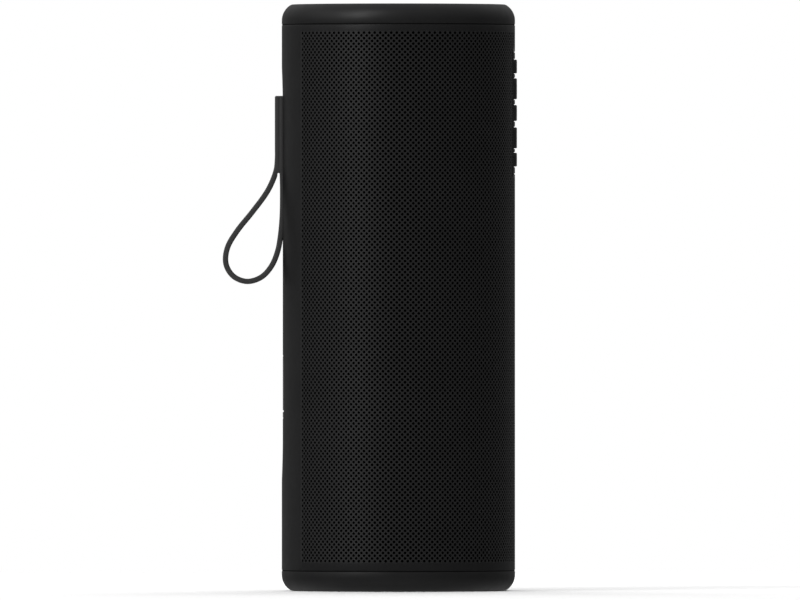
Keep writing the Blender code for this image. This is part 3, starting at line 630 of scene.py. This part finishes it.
def make_caps():
    """Caps, each turned from an outline with its end at height 0, and the gaskets in their seams,
    coloured near black as painted shade for the seam grooves.
    """
    rim_edge = SEAM - SEAM_HALF
    ledge = rim_edge + 0.3
    corner, crown_corner = 0.15, 1.4
    lip = rounded([(RADIUS, RIM_END), (RADIUS, rim_edge), (SEAM_RING, rim_edge)], corner)[1:]
    lip += [(SEAM_RING, ledge), (SKIRT_OUTER, ledge)]

    def cap(name, outside, skirt_end, wall, place=None):
        inside = [(SKIRT_OUTER, skirt_end), (SKIRT_INNER, skirt_end), (SKIRT_INNER, wall), (0.0, wall)]
        bm = lathe([*outside, *lip, *inside], CAP_STEPS, place)
        piece(f"{name}_shell", bm, "shell_black", ROOT, [name], 50)

    arc = rim_arc(0.0)
    crown = rounded([(TOP_FLAT, 0.0), arc[0], arc[2]], crown_corner)[1:-1]
    flip = Matrix.Translation((0.0, 0.0, HEIGHT)) @ Matrix.Scale(-1.0, 4, (0.0, 0.0, 1.0))
    cap("top_cap", [(0.0, 0.0), (TOP_FLAT, 0.0), *crown, *arc[2:]], TOP_SKIRT_END, TOP_WALL, flip)

    end = 0.2
    arc = rim_arc(end)
    recess = FOOT_RADIUS + 0.3
    start = rounded([(recess, FOOT_RECESS), (recess, end), (arc[0][0] - 0.02, end)], corner, 3)
    cap("bottom_cap", [(0.0, FOOT_RECESS), *start, *arc], BOTTOM_SKIRT_END, BOTTOM_WALL)

    # Gasket ring in each seam, in the near-black finish that paints the groove's shade
    for name, middle in (("top", HEIGHT - SEAM), ("bottom", SEAM)):
        low, high = middle - SEAM_HALF, middle + SEAM_HALF
        back = SEAM_RING + 0.02
        bm = lathe([(back, low), (GASKET_FACE, low), (GASKET_FACE, high), (back, high)], CAP_STEPS)
        piece(f"{name}_seam_shade_gasket", bm, "rubber_black", ROOT, (), 50, SEAM_SHADE_GASKET)


def make_foot():
    """Rubber foot with concentric grip ribs, whose crests touch the floor."""
    flank, crest, pitch, border = 0.3, 0.8, 2.3, 3.0
    radius = 4.0
    profile = [(0.0, FOOT_BACK), (0.0, FOOT_GROOVE), (radius, FOOT_GROOVE)]
    while radius < FOOT_RADIUS - border:
        inner, outer = radius + flank, radius + flank + crest
        rib = [(radius, FOOT_GROOVE), (inner, 0.0), (outer, 0.0), (outer + flank, FOOT_GROOVE)]
        profile += rounded(rib, 0.12, 2)
        radius += pitch
    rim = [(radius, FOOT_GROOVE), (radius + 0.2, 0.0), (FOOT_RADIUS, 0.0), (FOOT_RADIUS, FOOT_BACK)]
    profile += rounded(rim, [0.15, 0.4], 3)
    piece("foot_pad_ribbed", lathe(profile, 160), "rubber_black", ROOT, ["foot_pad"])


# Perforated sheet


def on_cylinder(angle, height, radius):
    """Point in space, at an angle that is 0 at the buttons."""
    return (radius * cos(angle), radius * sin(angle), height)


def sheet_radius(angle, height):
    """Outside of the sheet, with its ends, its sides and its window rounded off."""
    drop = rounding(min(SLEEVE_HIGH - height, height - SLEEVE_LOW), SLEEVE_EDGE)
    drop = max(drop, rounding((SHEET_END - abs(angle)) * RADIUS, SIDE_EDGE))
    if cos(angle) > 0:
        drop = max(drop, rounding(box_distance(RADIUS * sin(angle), height, WINDOW), WINDOW_EDGE))
    return RADIUS - drop


def pierce(bm, faces, angle, height):
    """Fills a cell of the sheet round an eight-sided hole. faces holds its corners, front and back."""
    turns = [(k + 0.5) * pi / 4 for k in range(8)]
    spots = [(angle + HOLE_RADIUS * cos(a) / RADIUS, height + HOLE_RADIUS * sin(a)) for a in turns]
    rings = [[bm.verts.new(on_cylinder(a, z, r)) for a, z in spots] for r in (RADIUS, SHEET_BACK)]
    for layer, (around, ring) in enumerate(zip(faces, rings)):
        for q in range(4):
            near, far, beyond = ring[2 * q], ring[2 * q + 1], ring[(2 * q + 2) % 8]
            for corners in ([around[q], far, near], [around[q], around[(q + 1) % 4], beyond, far]):
                bm.faces.new(corners[::-1] if layer else corners)
    front, back = rings
    for k in range(8):
        n = (k + 1) % 8
        bm.faces.new([front[k], front[n], back[n], back[k]])


def make_sheet():
    """Sheet in sectors, cell by cell. Holes sit in every second cell, as on a chessboard."""
    ends = [SLEEVE_HIGH - d for d in edge_steps(SLEEVE_EDGE)]
    rows = ends + [TOP_ROW + ROW_PITCH / 2 - i * ROW_PITCH for i in range(ROWS + 1)]
    rows += [SLEEVE_LOW + d for d in reversed(edge_steps(SLEEVE_EDGE))]
    first_row = len(ends)
    side = [SHEET_END - d / RADIUS for d in reversed(edge_steps(SIDE_EDGE))]

    for i, name in enumerate(SECTORS):
        first = i * SECTOR_COLUMNS - LAST_COLUMN
        last = first + SECTOR_COLUMNS - 1
        bounds = [(k - 0.5) * COLUMN_ANGLE for k in range(first, last + 2)]
        lead = 0
        if first == -LAST_COLUMN:
            bounds = [-a for a in reversed(side)] + bounds
            lead = len(side)
        if last == LAST_COLUMN:
            bounds += side
        bm = bmesh.new()
        known = {}

        def corner(angle, height, layer):
            """Vertex where cells meet, in front or at the back."""
            key = (round(angle, 6), round(height, 4), layer)
            if key not in known:
                radius = SHEET_BACK if layer else sheet_radius(angle, height)
                known[key] = bm.verts.new(on_cylinder(angle, height, radius))
            return known[key]

        for c, (left, right) in enumerate(zip(bounds, bounds[1:])):
            column = first + c - lead
            for r, (high, low) in enumerate(zip(rows, rows[1:])):
                row = r - first_row
                if abs(column) <= WINDOW_LAST_COLUMN and WINDOW_ROWS[0] <= row <= WINDOW_ROWS[1]:
                    continue
                corners = [(right, high), (left, high), (left, low), (right, low)]
                faces = [[corner(a, z, layer) for a, z in corners] for layer in (0, 1)]
                inside = first <= column <= last and 0 <= row < ROWS
                if inside and (column + row) % 2:
                    pierce(bm, faces, (left + right) / 2, (high + low) / 2)
                else:
                    bm.faces.new(faces[0])
                    bm.faces.new(faces[1][::-1])

        if first <= 0 <= last:
            top, bottom = WINDOW_ROWS
            add_window_frame(corner, bm, rows[first_row + top : first_row + bottom + 2])
        close_open_edges(bm)
        piece(f"grille_{name}", bm, "grille_black", ROOT, ["grille"], 30)


def add_window_frame(corner, bm, heights):
    """Plain border round the buttons, from the nearest row of holes to the edge of the window."""
    reach = (WINDOW_LAST_COLUMN + 0.5) * COLUMN_ANGLE
    columns = [-reach + k * COLUMN_ANGLE for k in range(2 * WINDOW_LAST_COLUMN + 2)]
    outer = [(a, heights[0]) for a in reversed(columns)]
    outer += [(columns[0], z) for z in heights[1:]]
    outer += [(a, heights[-1]) for a in columns[1:]]
    outer += [(columns[-1], z) for z in reversed(heights[1:-1])]
    loops = [[(a * RADIUS, z) for a, z in outer]]
    for step in edge_steps(WINDOW_EDGE):
        loops.append([(RADIUS * asin(y / RADIUS), z) for y, z in box_loop(WINDOW, step, 0.7)])

    def keep(s, z):
        return box_distance(RADIUS * sin(s / RADIUS), z, WINDOW) > -TOUCH

    flat, faces = triangles(loops, [], keep)
    for face in faces:
        for layer in (0, 1):
            points = [corner(flat[i].x / RADIUS, flat[i].y, layer) for i in face]
            bm.faces.new(points[::-1] if layer else points)


def close_open_edges(bm):
    """Joins the front and back skins of a sheet along every open edge."""

    def spot(vert):
        return (round(atan2(vert.co.y, vert.co.x), 5), round(vert.co.z, 3))

    def at_back(vert):
        return abs(hypot(vert.co.x, vert.co.y) - SHEET_BACK) < 1e-4

    open_edges = [edge for edge in bm.edges if len(edge.link_faces) == 1]
    back_at = {spot(vert): vert for edge in open_edges for vert in edge.verts if at_back(vert)}
    for edge in open_edges:
        a, b = edge.verts
        pair = [back_at.get(spot(vert)) for vert in (b, a)]
        if not at_back(a) and all(pair):
            bm.faces.new([a, b, *pair])


# Rear spine and port cover


def rear_x(y, z):
    """How far the rear surface stands out, with its long flat."""
    beyond = max(SCOOP_LOW - z, z - SCOOP_HIGH, 0.0)
    return min(sqrt(RADIUS**2 - y**2), SCOOP_X + beyond**2 / (2 * SCOOP_RUNOUT))


def make_spine():
    """Smooth strip on the rear, with the strap's channel and the opening for the port cover."""
    half = RADIUS * sin(SPINE_HALF_ANGLE)
    lip = 0.3
    root = 0.35
    wall = 0.05
    opening_edge = 0.25

    def channel(distance, top):
        """Surface at a distance from the channel's edge, which is rounded above and filleted below."""
        if distance >= 0:
            return top - rounding(distance, lip)
        below = top - lip
        if distance > -wall:
            return below + (CHANNEL_FLOOR + root - below) * -distance / wall
        return CHANNEL_FLOOR + rounding(-distance - wall, root)

    def front(y, z):
        x = channel(box_distance(y, z, CHANNEL), rear_x(y, z))
        drop = rounding(box_distance(y, z, COVER_OPENING), opening_edge)
        drop = max(drop, rounding(min(SLEEVE_HIGH - z, z - SLEEVE_LOW), SLEEVE_EDGE))
        drop = max(drop, rounding(half - abs(y), SIDE_EDGE))
        return (drop - x, y, z)

    def back(y, z):
        return (-sqrt(SPINE_BACK**2 - y**2), y, z)

    def keep(y, z):
        return box_distance(y, z, COVER_OPENING) > -TOUCH

    def open_ground(y, z):
        """Whether a loose point keeps clear of every outline."""
        if abs(box_distance(y, z, CHANNEL)) < 0.75 or box_distance(y, z, COVER_OPENING) < 0.6:
            return False
        return abs(y) < half - 0.4 and SLEEVE_LOW + 0.6 < z < SLEEVE_HIGH - 0.6

    loops = []
    for across, up in zip(edge_steps(SIDE_EDGE), edge_steps(SLEEVE_EDGE)):
        y, low, high = half - across, SLEEVE_LOW + up, SLEEVE_HIGH - up
        loops.append(divided([(y, high), (-y, high), (-y, low), (y, low)], 1.2))
    loops += [box_loop(COVER_OPENING, d, 0.8) for d in edge_steps(opening_edge)]
    loops += [box_loop(CHANNEL, d, 0.9) for d in edge_steps(lip)]
    loops += [box_loop(CHANNEL, -wall - d, 0.9) for d in edge_steps(root)]
    points = grid((-half, SLEEVE_LOW), (half, SLEEVE_HIGH), 0.8, 1.2, open_ground)
    bm = plate(loops, points, keep, front, back)
    piece("rear_spine_shell", bm, "shell_black", ROOT, ["rear_spine"], 38)


def make_port_cover():
    """Rubber cover with a finger notch, an engraved line, a hinge groove, and a bung on its back."""
    edge = 0.3
    bung = ((0.0, PORT_HEIGHT), (7.4, 1.7), 0.8)
    notch = ((0.0, PORT_HEIGHT + 7.6), (6.4, 1.5), 0.7)
    panel = ((0.0, PORT_HEIGHT + 0.5), (9.6, 11.0), 1.8)
    hinge_line = PORT_HEIGHT - 7.6
    notch_slope, panel_line, groove_half = 0.5, 0.35, 0.45

    def front(y, z):
        drop = rounding(-box_distance(y, z, COVER), edge)
        drop += 0.7 * ease(-box_distance(y, z, notch) / notch_slope)
        drop += 0.14 * ease(1.0 - abs(box_distance(y, z, panel)) / panel_line)
        drop += 0.35 * ease(1.0 - abs(z - hinge_line) / groove_half)
        return (drop - rear_x(y, z), y, z)

    def back(y, z):
        depth = -box_distance(y, z, bung)
        if depth < 0.02:
            return (-34.6, y, z)
        return (-(33.3 + rounding(depth - 0.05, 0.2)), y, z)

    def keep(y, z):
        return box_distance(y, z, COVER) < TOUCH

    def open_ground(y, z):
        far = min(abs(box_distance(y, z, box)) for box in (panel, bung))
        far = min(far, -box_distance(y, z, COVER) - 0.2, box_distance(y, z, notch) + 0.1)
        return far > 0.5 and abs(z - hinge_line) > 0.7

    loops = [box_loop(COVER, -d, 0.7) for d in edge_steps(edge)]
    loops += [box_loop(notch, -d, 0.35) for d in (0.0, 0.12, 0.25, 0.38, notch_slope)]
    loops += [box_loop(panel, d, 0.5) for d in (-panel_line, -0.2, -0.08, 0.0, 0.08, 0.2, panel_line)]
    loops += [box_loop(bung, -d, 0.4) for d in (0.0, 0.05, 0.07, 0.12, 0.25)]
    points = []
    for d in (-groove_half, -0.3, -0.15, 0.0, 0.15, 0.3, groove_half):
        points += [(-6.4 + 0.4 * k, hinge_line + d) for k in range(33)]
    points += grid((-7.0, PORT_HEIGHT - 9.7), (7.0, PORT_HEIGHT + 9.7), 0.6, 0.8, open_ground)
    bm = plate(loops, points, keep, front, back)
    piece("port_cover_rubber", bm, "rubber_black", "port_flap", ["port_cover"], 45)


def make_port():
    """Socket with rounded ends, its tongue with two rows of contacts, and the gasket round it."""
    centre = (0.0, PORT_HEIGHT)
    shell = (centre, (9.0, 3.3), 1.6)
    socket = (centre, (8.3, 2.6), 1.28)
    tongue = (centre, (6.6, 0.7), 0.2)
    mouth, back = -33.6, -24.7

    def block(box, near, far, edge=0.0):
        """Straight block over a rectangle, with its near end rounded."""

        def front(y, z):
            return (near + rounding(-box_distance(y, z, box), edge), y, z)

        def keep(y, z):
            return box_distance(y, z, box) < TOUCH

        loops = [box_loop(box, -d, 0.4, 10) for d in (edge_steps(edge) if edge else (0.0,))]
        return plate(loops, [], keep, front, flat_face(far))

    bm = difference(block(shell, mouth, back, edge=0.12), block(socket, mouth - 1.0, back - 2.4))
    piece("charge_port_shell", bm, "steel", ROOT, ["charge_port"], 30)
    bm = block(tongue, mouth + 1.0, back - 2.3, edge=0.15)
    piece("charge_port_tongue", bm, "steel", ROOT, (), 30, TONGUE)

    contacts = bmesh.new()
    count, pitch, offset = 12, 0.5, 0.36
    strip = Matrix.Diagonal((3.6, 0.26, 0.06, 1.0))
    for i in range(count):
        y = (i - (count - 1) / 2) * pitch
        for z in (PORT_HEIGHT - offset, PORT_HEIGHT + offset):
            spot = Matrix.Translation((mouth + 3.4, y, z))
            bmesh.ops.create_cube(contacts, size=1.0, matrix=spot @ strip)
    piece("charge_port_contacts", contacts, "steel", ROOT, (), 30, GOLD)

    ring = (centre, (11.8, 6.0), 1.7)
    hole = (centre, (9.6, 3.9), 1.9)
    ring_edge = 0.3
    ring_face, ring_back = -33.2, -32.0

    def ring_front(y, z):
        outside = rounding(-box_distance(y, z, ring), ring_edge)
        return (ring_face + max(outside, rounding(box_distance(y, z, hole), ring_edge)), y, z)

    def ring_keep(y, z):
        return box_distance(y, z, ring) < TOUCH and box_distance(y, z, hole) > -TOUCH

    loops = [box_loop(ring, -d, 0.5, 8) for d in edge_steps(ring_edge)]
    loops += [box_loop(hole, d, 0.5, 8) for d in edge_steps(ring_edge)]
    bm = plate(loops, [], ring_keep, ring_front, flat_face(ring_back))
    piece("port_gasket_ring", bm, "rubber_black", ROOT, ["port_gasket"])


# Buttons


def front_plate(outline, holes, radius, back, edge, hole_edge=0.0, spacing=0.9):
    """Round-cornered plate on the +X side, curved to a radius, with rounded edges and windows."""

    def front(y, z):
        drop = rounding(-box_distance(y, z, outline), edge)
        for hole in holes:
            drop = max(drop, rounding(box_distance(y, z, hole), hole_edge))
        return (sqrt(radius**2 - y**2) - drop, y, z)

    def keep(y, z):
        outside = box_distance(y, z, outline)
        return outside < TOUCH and all(box_distance(y, z, hole) > -TOUCH for hole in holes)

    def open_ground(y, z):
        clear = -box_distance(y, z, outline) - edge
        for hole in holes:
            clear = min(clear, box_distance(y, z, hole) - hole_edge)
        return clear > 0.25

    loops = [box_loop(outline, -d, spacing) for d in edge_steps(edge)]
    for hole in holes:
        loops += [box_loop(hole, d, spacing) for d in edge_steps(hole_edge)]
    (cu, cv), (width, height), _ = outline
    low = (cu - width / 2, cv - height / 2)
    high = (cu + width / 2, cv + height / 2)
    return plate(loops, grid(low, high, 0.7, 0.9, open_ground), keep, front, flat_face(back))


def make_buttons():
    """Bezel with five windows, and in each a button with a slightly raised symbol."""
    bezel = ((0.0, BUTTONS_MIDDLE), (12.0, 38.0), 3.0)
    windows = [((0.0, z), (10.5, length + 0.5), 1.45) for _, z, length in BUTTONS]
    bm = front_plate(bezel, windows, RADIUS, back=35.0, edge=0.22, hole_edge=0.16)
    piece("button_bezel_frame", bm, "shell_black", ROOT, ["button_bezel"], 38)
    icon_height = 0.015
    for name, height, length in BUTTONS:
        body = f"{name}_key"
        key = ((0.0, height), (10.0, length), 1.2)
        bm = front_plate(key, [], BUTTON_FACE, back=33.0, edge=0.32, spacing=0.6)
        piece(f"{name}_button_cap", bm, "button_black", body, [f"{name}_button"], 38)
        for i, (loop, inside) in enumerate(icon(name), start=1):
            moved = [(y, z + height) for y, z in loop]
            bm = plate([moved], [], lambda y, z: inside(y, z - height),
                       lambda y, z: (sqrt(BUTTON_FACE**2 - y**2) + icon_height, y, z),
                       flat_face(BUTTON_FACE - 0.6))
            piece(f"{name}_icon_{i}", bm, "button_black", body, finish=ICON)


def arc_stroke(radius, width, start, end, steps=28):
    """Outline of a curved stroke between two angles, with the test that says what is inside it."""
    outer, inner = radius + width / 2, radius - width / 2
    turns = [start + (end - start) * i / steps for i in range(steps + 1)]
    loop = [(outer * cos(a), outer * sin(a)) for a in turns]
    loop += [(inner * cos(a), inner * sin(a)) for a in reversed(turns)]

    def inside(y, z):
        angle = (atan2(z, y) - start) % (2 * pi)
        return inner < hypot(y, z) < outer and angle < end - start

    return loop, inside


def bar(width, height, centre=(0.0, 0.0)):
    box = (centre, (width, height), 0.12)
    return box_loop(box, 0.0, 0.6, 3), lambda y, z: box_distance(y, z, box) < 0


def icon(name):
    """Strokes of a plain, generic symbol about 2.5 mm across."""
    if name == "power":
        ring = arc_stroke(1.15, 0.3, radians(125), radians(415))
        return [ring, bar(0.3, 1.3, (0.0, 0.8))]
    if name == "volume_up":
        arm, half = 1.3, 0.16
        plus = [(arm, half), (half, half), (half, arm), (-half, arm), (-half, half), (-arm, half)]
        plus = divided(plus + [(-u, -v) for u, v in plus], 0.6)
        return [(plus, lambda y, z: min(abs(y), abs(z)) < half and max(abs(y), abs(z)) < arm)]
    if name == "volume_down":
        return [bar(2.6, 0.32)]
    if name == "play":
        base, tip = -0.75, 1.15
        triangle = divided([(base, tip), (base, -tip), (tip, 0.0)], 0.5)
        return [(triangle, lambda y, z: y > base and abs(z) < (tip - y) * tip / (tip - base))]
    dot = 0.34
    circle = [(dot * cos(a), dot * sin(a)) for a in (2 * pi * i / 20 for i in range(20))]
    waves = []
    for radius in (0.85, 1.45):
        for start, end in ((-45, 45), (135, 225)):
            waves.append(arc_stroke(radius, 0.26, radians(start), radians(end), 14))
    return [(circle, lambda y, z: hypot(y, z) < dot), *waves]


# Strap


def offset_line(route, distance):
    """Line beside a route, at a distance to its left."""
    result = []
    for i, point in enumerate(route):
        along = (route[min(i + 1, len(route) - 1)] - route[max(i - 1, 0)]).normalized()
        result.append((point.x - along.y * distance, point.y + along.x * distance))
    return result


def make_strap():
    """Silicone strap in one piece, its doubled tab and its loop, with the screw that holds it."""
    route = smooth(STRAP_ROUTE, 7)
    half = STRAP_THICKNESS / 2
    edge = 0.42
    middle_x = (TAB_OUTER + TAB_INNER) / 2
    tab_low = 138.5
    seam_half = 0.2
    seam_low = STRAP_CROTCH + 1.0

    def outer_loop(inset):
        """Outside of the tab and loop, moved inwards."""
        line = [p for p in offset_line(route, inset - half) if p[1] < tab_low]
        box = [(TAB_INNER - inset, TAB_TOP - inset), (TAB_OUTER + inset, TAB_TOP - inset)]
        corners = rounded([line[-1], *box, line[0]], max(0.5 - inset, 0.08), 5)[1:-1]
        return divided(line + corners, 0.8)

    def inner_loop(inset):
        """Teardrop opening, moved into the strap. Its upper end is a small blunt crotch."""
        top = STRAP_CROTCH + inset
        body = [p for p in offset_line(route, half - inset) if p[1] < top - 0.35]
        left, right = body[0][0], body[-1][0]
        crotch = [(right - 0.05, top - 0.15), (right - 0.25, top)]
        crotch += [(left + 0.25, top), (left + 0.05, top - 0.15)]
        return divided(body + crotch, 0.8)

    outer = outer_loop(0.0)
    inner = inner_loop(0.0)

    def half_width(u, v):
        """Half the strap's width, with its edges rounded and a seam down the doubled tab."""
        drop = rounding(min(nearest(outer, u, v), nearest(inner, u, v)), edge)
        if v > STRAP_CROTCH:
            seam = 0.09 * ease(1.0 - abs(u - middle_x) / seam_half)
            drop = max(drop, seam * min(1.0, (v - STRAP_CROTCH) / 3.0))
        return STRAP_HALF_WIDTH - drop

    def keep(u, v):
        return within(outer, u, v) and not within(inner, u, v)

    loops = [shape(d) for shape in (outer_loop, inner_loop) for d in edge_steps(edge)]
    points = []
    steps = 50
    for k in range(steps):
        v = seam_low + (TAB_TOP - 0.7 - seam_low) * k / (steps - 1)
        points += [(middle_x + d, v) for d in (-0.6, -seam_half, -0.1, 0.0, 0.1, seam_half, 0.6)]
    bm = plate(loops, points, keep,
               lambda u, v: (u, -half_width(u, v), v),
               lambda u, v: (u, half_width(u, v), v))

    # Counterbore, screw and its six-sided socket, as (radius, depth under the tab's face)
    place = Matrix.Translation((TAB_OUTER, 0.0, STRAP_SCREW_HEIGHT)) @ Matrix.Rotation(pi / 2, 4, "Y")
    seat, clearance, through = 1.75, 1.3, 4.0
    bore = [(0.0, -1.0), (2.5, -1.0), (2.5, 0.0), (2.2, 0.3), (2.2, seat)]
    bore += [(clearance, seat), (clearance, through), (0.0, through)]
    bm = difference(bm, lathe(bore, 48, place))
    strap = piece("strap_silicone", bm, "strap_grey", None, ["strap_tab", "strap_loop"])
    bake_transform(strap)

    tip = STRAP_SCREW_TIP - TAB_OUTER
    under = 1.45
    head = rounded([(0.0, 0.15), (1.9, 0.15), (1.9, under)], 0.3, 5)
    screw = lathe([*head, (1.0, under), (1.0, tip - 0.6), (0.4, tip), (0.0, tip)], 64, place)
    socket = [(0.0, -1.0), (1.05, -1.0), (1.05, 0.25), (0.95, 0.33), (0.95, 0.95), (0.0, 1.15)]
    bm = difference(screw, lathe(socket, 6, place))
    piece("strap_screw_socket_head", bm, "steel", ROOT, ["strap_screw"], 30)


def nearest(loop, u, v):
    """Distance from a point to a closed outline."""
    best = 1e9
    for i, (ax, ay) in enumerate(loop):
        bx, by = loop[(i + 1) % len(loop)]
        dx, dy = bx - ax, by - ay
        length = dx * dx + dy * dy or 1e-12
        t = max(0.0, min(1.0, ((u - ax) * dx + (v - ay) * dy) / length))
        best = min(best, hypot(u - ax - t * dx, v - ay - t * dy))
    return best


def within(loop, u, v):
    """Whether a point is inside a closed outline."""
    inside = False
    for i, (ax, ay) in enumerate(loop):
        bx, by = loop[(i + 1) % len(loop)]
        if (ay > v) != (by > v) and u < (bx - ax) * (v - ay) / (by - ay) + ax:
            inside = not inside
    return inside


# Surrounds inside


def make_surround(name, side, height, body, inner, outer, foot, base):
    """Rubber half roll in sectors, between the housing and its cone or radiator."""
    skin = 0.5
    steps = 12
    middle, radius = (inner + outer) / 2, (outer - inner) / 2
    turns = [pi * (1 - i / steps) for i in range(steps + 1)]
    under = radius - skin
    profile = [(middle + radius * cos(a), base + radius * sin(a)) for a in turns]
    profile += [(outer, base + skin), (foot, base + skin), (foot, base)]
    profile += [(middle + under * cos(a), base + under * sin(a)) for a in reversed(turns)]
    turned = Matrix.Rotation(-side * pi / 2, 4, "X")
    place = Matrix.Translation((0.0, side * HOUSING_FLAT, height)) @ turned
    sector = 2 * pi / SURROUND_SECTORS
    spans = 8
    for k in range(SURROUND_SECTORS):
        bm = bmesh.new()
        sections = []
        for i in range(spans + 1):
            a = (k + i / spans) * sector
            ring = [place @ Vector((r * cos(a), r * sin(a), h)) for r, h in profile]
            sections.append([bm.verts.new(spot) for spot in ring])
        for near, far in zip(sections, sections[1:]):
            for i in range(len(profile)):
                bm.faces.new([near[i - 1], near[i], far[i], far[i - 1]])
        bm.faces.new(sections[0])
        bm.faces.new(sections[-1])
        made = piece(f"{name}_{k + 1}", bm, "rubber_black", None, [name], 50)
        a = (k + 0.5) * sector
        ends = [(outer - skin) * cos(sector / 2), inner + skin]
        start, end = (place @ Vector((r * cos(a), r * sin(a), base)) * MM for r in ends)
        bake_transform(made)
        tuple(start)
        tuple(end)


# Stage, light and camera


def make_stage():
    """Round sheet of white paper under the speaker, which fades out before its edge."""
    floor = bmesh.new()
    bmesh.ops.create_circle(floor, cap_ends=True, segments=96, radius=620.0)
    paper = Finish("studio_floor", 0.9, specular=0.1)
    paper.colour(paper.noise(400.0), (0.3, (0.86, 0.86, 0.86)), (0.7, (0.87, 0.87, 0.87)))
    reach = paper.node("VectorMath", {0: paper.place}, operation="LENGTH").outputs["Value"]
    fade = map_range(paper.tree, reach, 0.35, 0.61, 1.0, 0.0, interpolation_type="SMOOTHSTEP")
    paper.feed(fade, "Alpha")
    made = piece("floor", floor, None, None, finish=paper.made)
    made.visible_glossy = False


def add_light(name, azimuth, elevation, distance, size, power):
    """Soft rectangular light aimed at the speaker. Azimuth 0 is the camera's side and 90 is +X."""
    target = Vector((0.0, 0.0, HEIGHT / 2 * MM))
    a, e = radians(azimuth), radians(elevation)
    away = Vector((sin(a) * cos(e), -cos(a) * cos(e), sin(e)))
    data = bpy.data.lights.new(name, "AREA")
    data.shape = "RECTANGLE"
    data.size, data.size_y = size
    data.energy = power
    made = add_object(name, data)
    made.location = target + away * distance
    made.rotation_mode = "QUATERNION"
    made.rotation_quaternion = away.to_track_quat("Z", "Y")
    return made


def make_light():
    """White backdrop, a soft room that is brightest above and on the camera's side, and three lights."""
    world = bpy.data.worlds.new("studio")
    world.use_nodes = True
    bpy.context.scene.world = world
    tree = world.node_tree
    direction = add_node(tree, "TexCoord").outputs["Generated"]
    axes = add_node(tree, "SeparateXYZ", {"Vector": direction}).outputs
    strength = map_range(tree, axes["Z"], 0.0, 1.0, 0.12, 0.75)
    for part in (
        map_range(tree, axes["X"], 1.0, -1.0, 0.0, 0.05),
        map_range(tree, axes["Y"], 0.0, -1.0, 0.0, 0.13),
        map_range(tree, axes["Z"], -0.2, -0.6, 0.0, 0.35),
    ):
        strength = add_node(tree, "Math", {0: strength, 1: part}).outputs["Value"]
    white = (1.0, 1.0, 1.0, 1.0)
    room = add_node(tree, "Background", {"Color": white, "Strength": strength}).outputs["Background"]
    backdrop = add_node(tree, "Background", {"Color": white}).outputs["Background"]
    seen = add_node(tree, "LightPath").outputs["Is Camera Ray"]
    mix = add_node(tree, "MixShader", {"Fac": seen, 1: room, 2: backdrop})
    tree.links.new(mix.outputs["Shader"], tree.nodes["World Output"].inputs["Surface"])
    add_light("window", -42.0, 32.0, 4.5, (1.5, 3.3), 81.0)
    add_light("wide_window", -74.0, 25.0, 4.5, (4.5, 3.6), 27.0)
    add_light("back", 180.0, 50.0, 1.8, (2.2, 1.0), 26.0).visible_glossy = False


def make_camera():
    """Camera far away behind a long lens, because the photograph shows almost no perspective."""
    lens = 1250.0
    sensor = 36.0
    width = 0.2511
    aim_x, aim_z = 0.0005, 0.09125
    data = bpy.data.cameras.new("camera")
    data.type = "PERSP"
    data.sensor_width = sensor
    data.lens = lens
    data.clip_start = 0.1
    data.clip_end = 40.0
    made = add_object("camera", data)
    made.location = (aim_x, -width * lens / sensor, aim_z)
    made.rotation_euler = (pi / 2, 0.0, 0.0)
    bpy.context.scene.camera = made


bpy.context.scene.view_settings.view_transform = "Standard"
make_camera()
make_light()
make_stage()
dress_cad_nodes()
make_caps()
make_foot()
make_sheet()
make_spine()
make_port_cover()
make_port()
make_buttons()
make_strap()
for side, flank in ((-1, "left"), (1, "right")):
    for kind, body, height, *roll in SURROUNDS:
        make_surround(f"{flank}_{kind}_surround", side, height, f"{flank}_{body}", *roll)
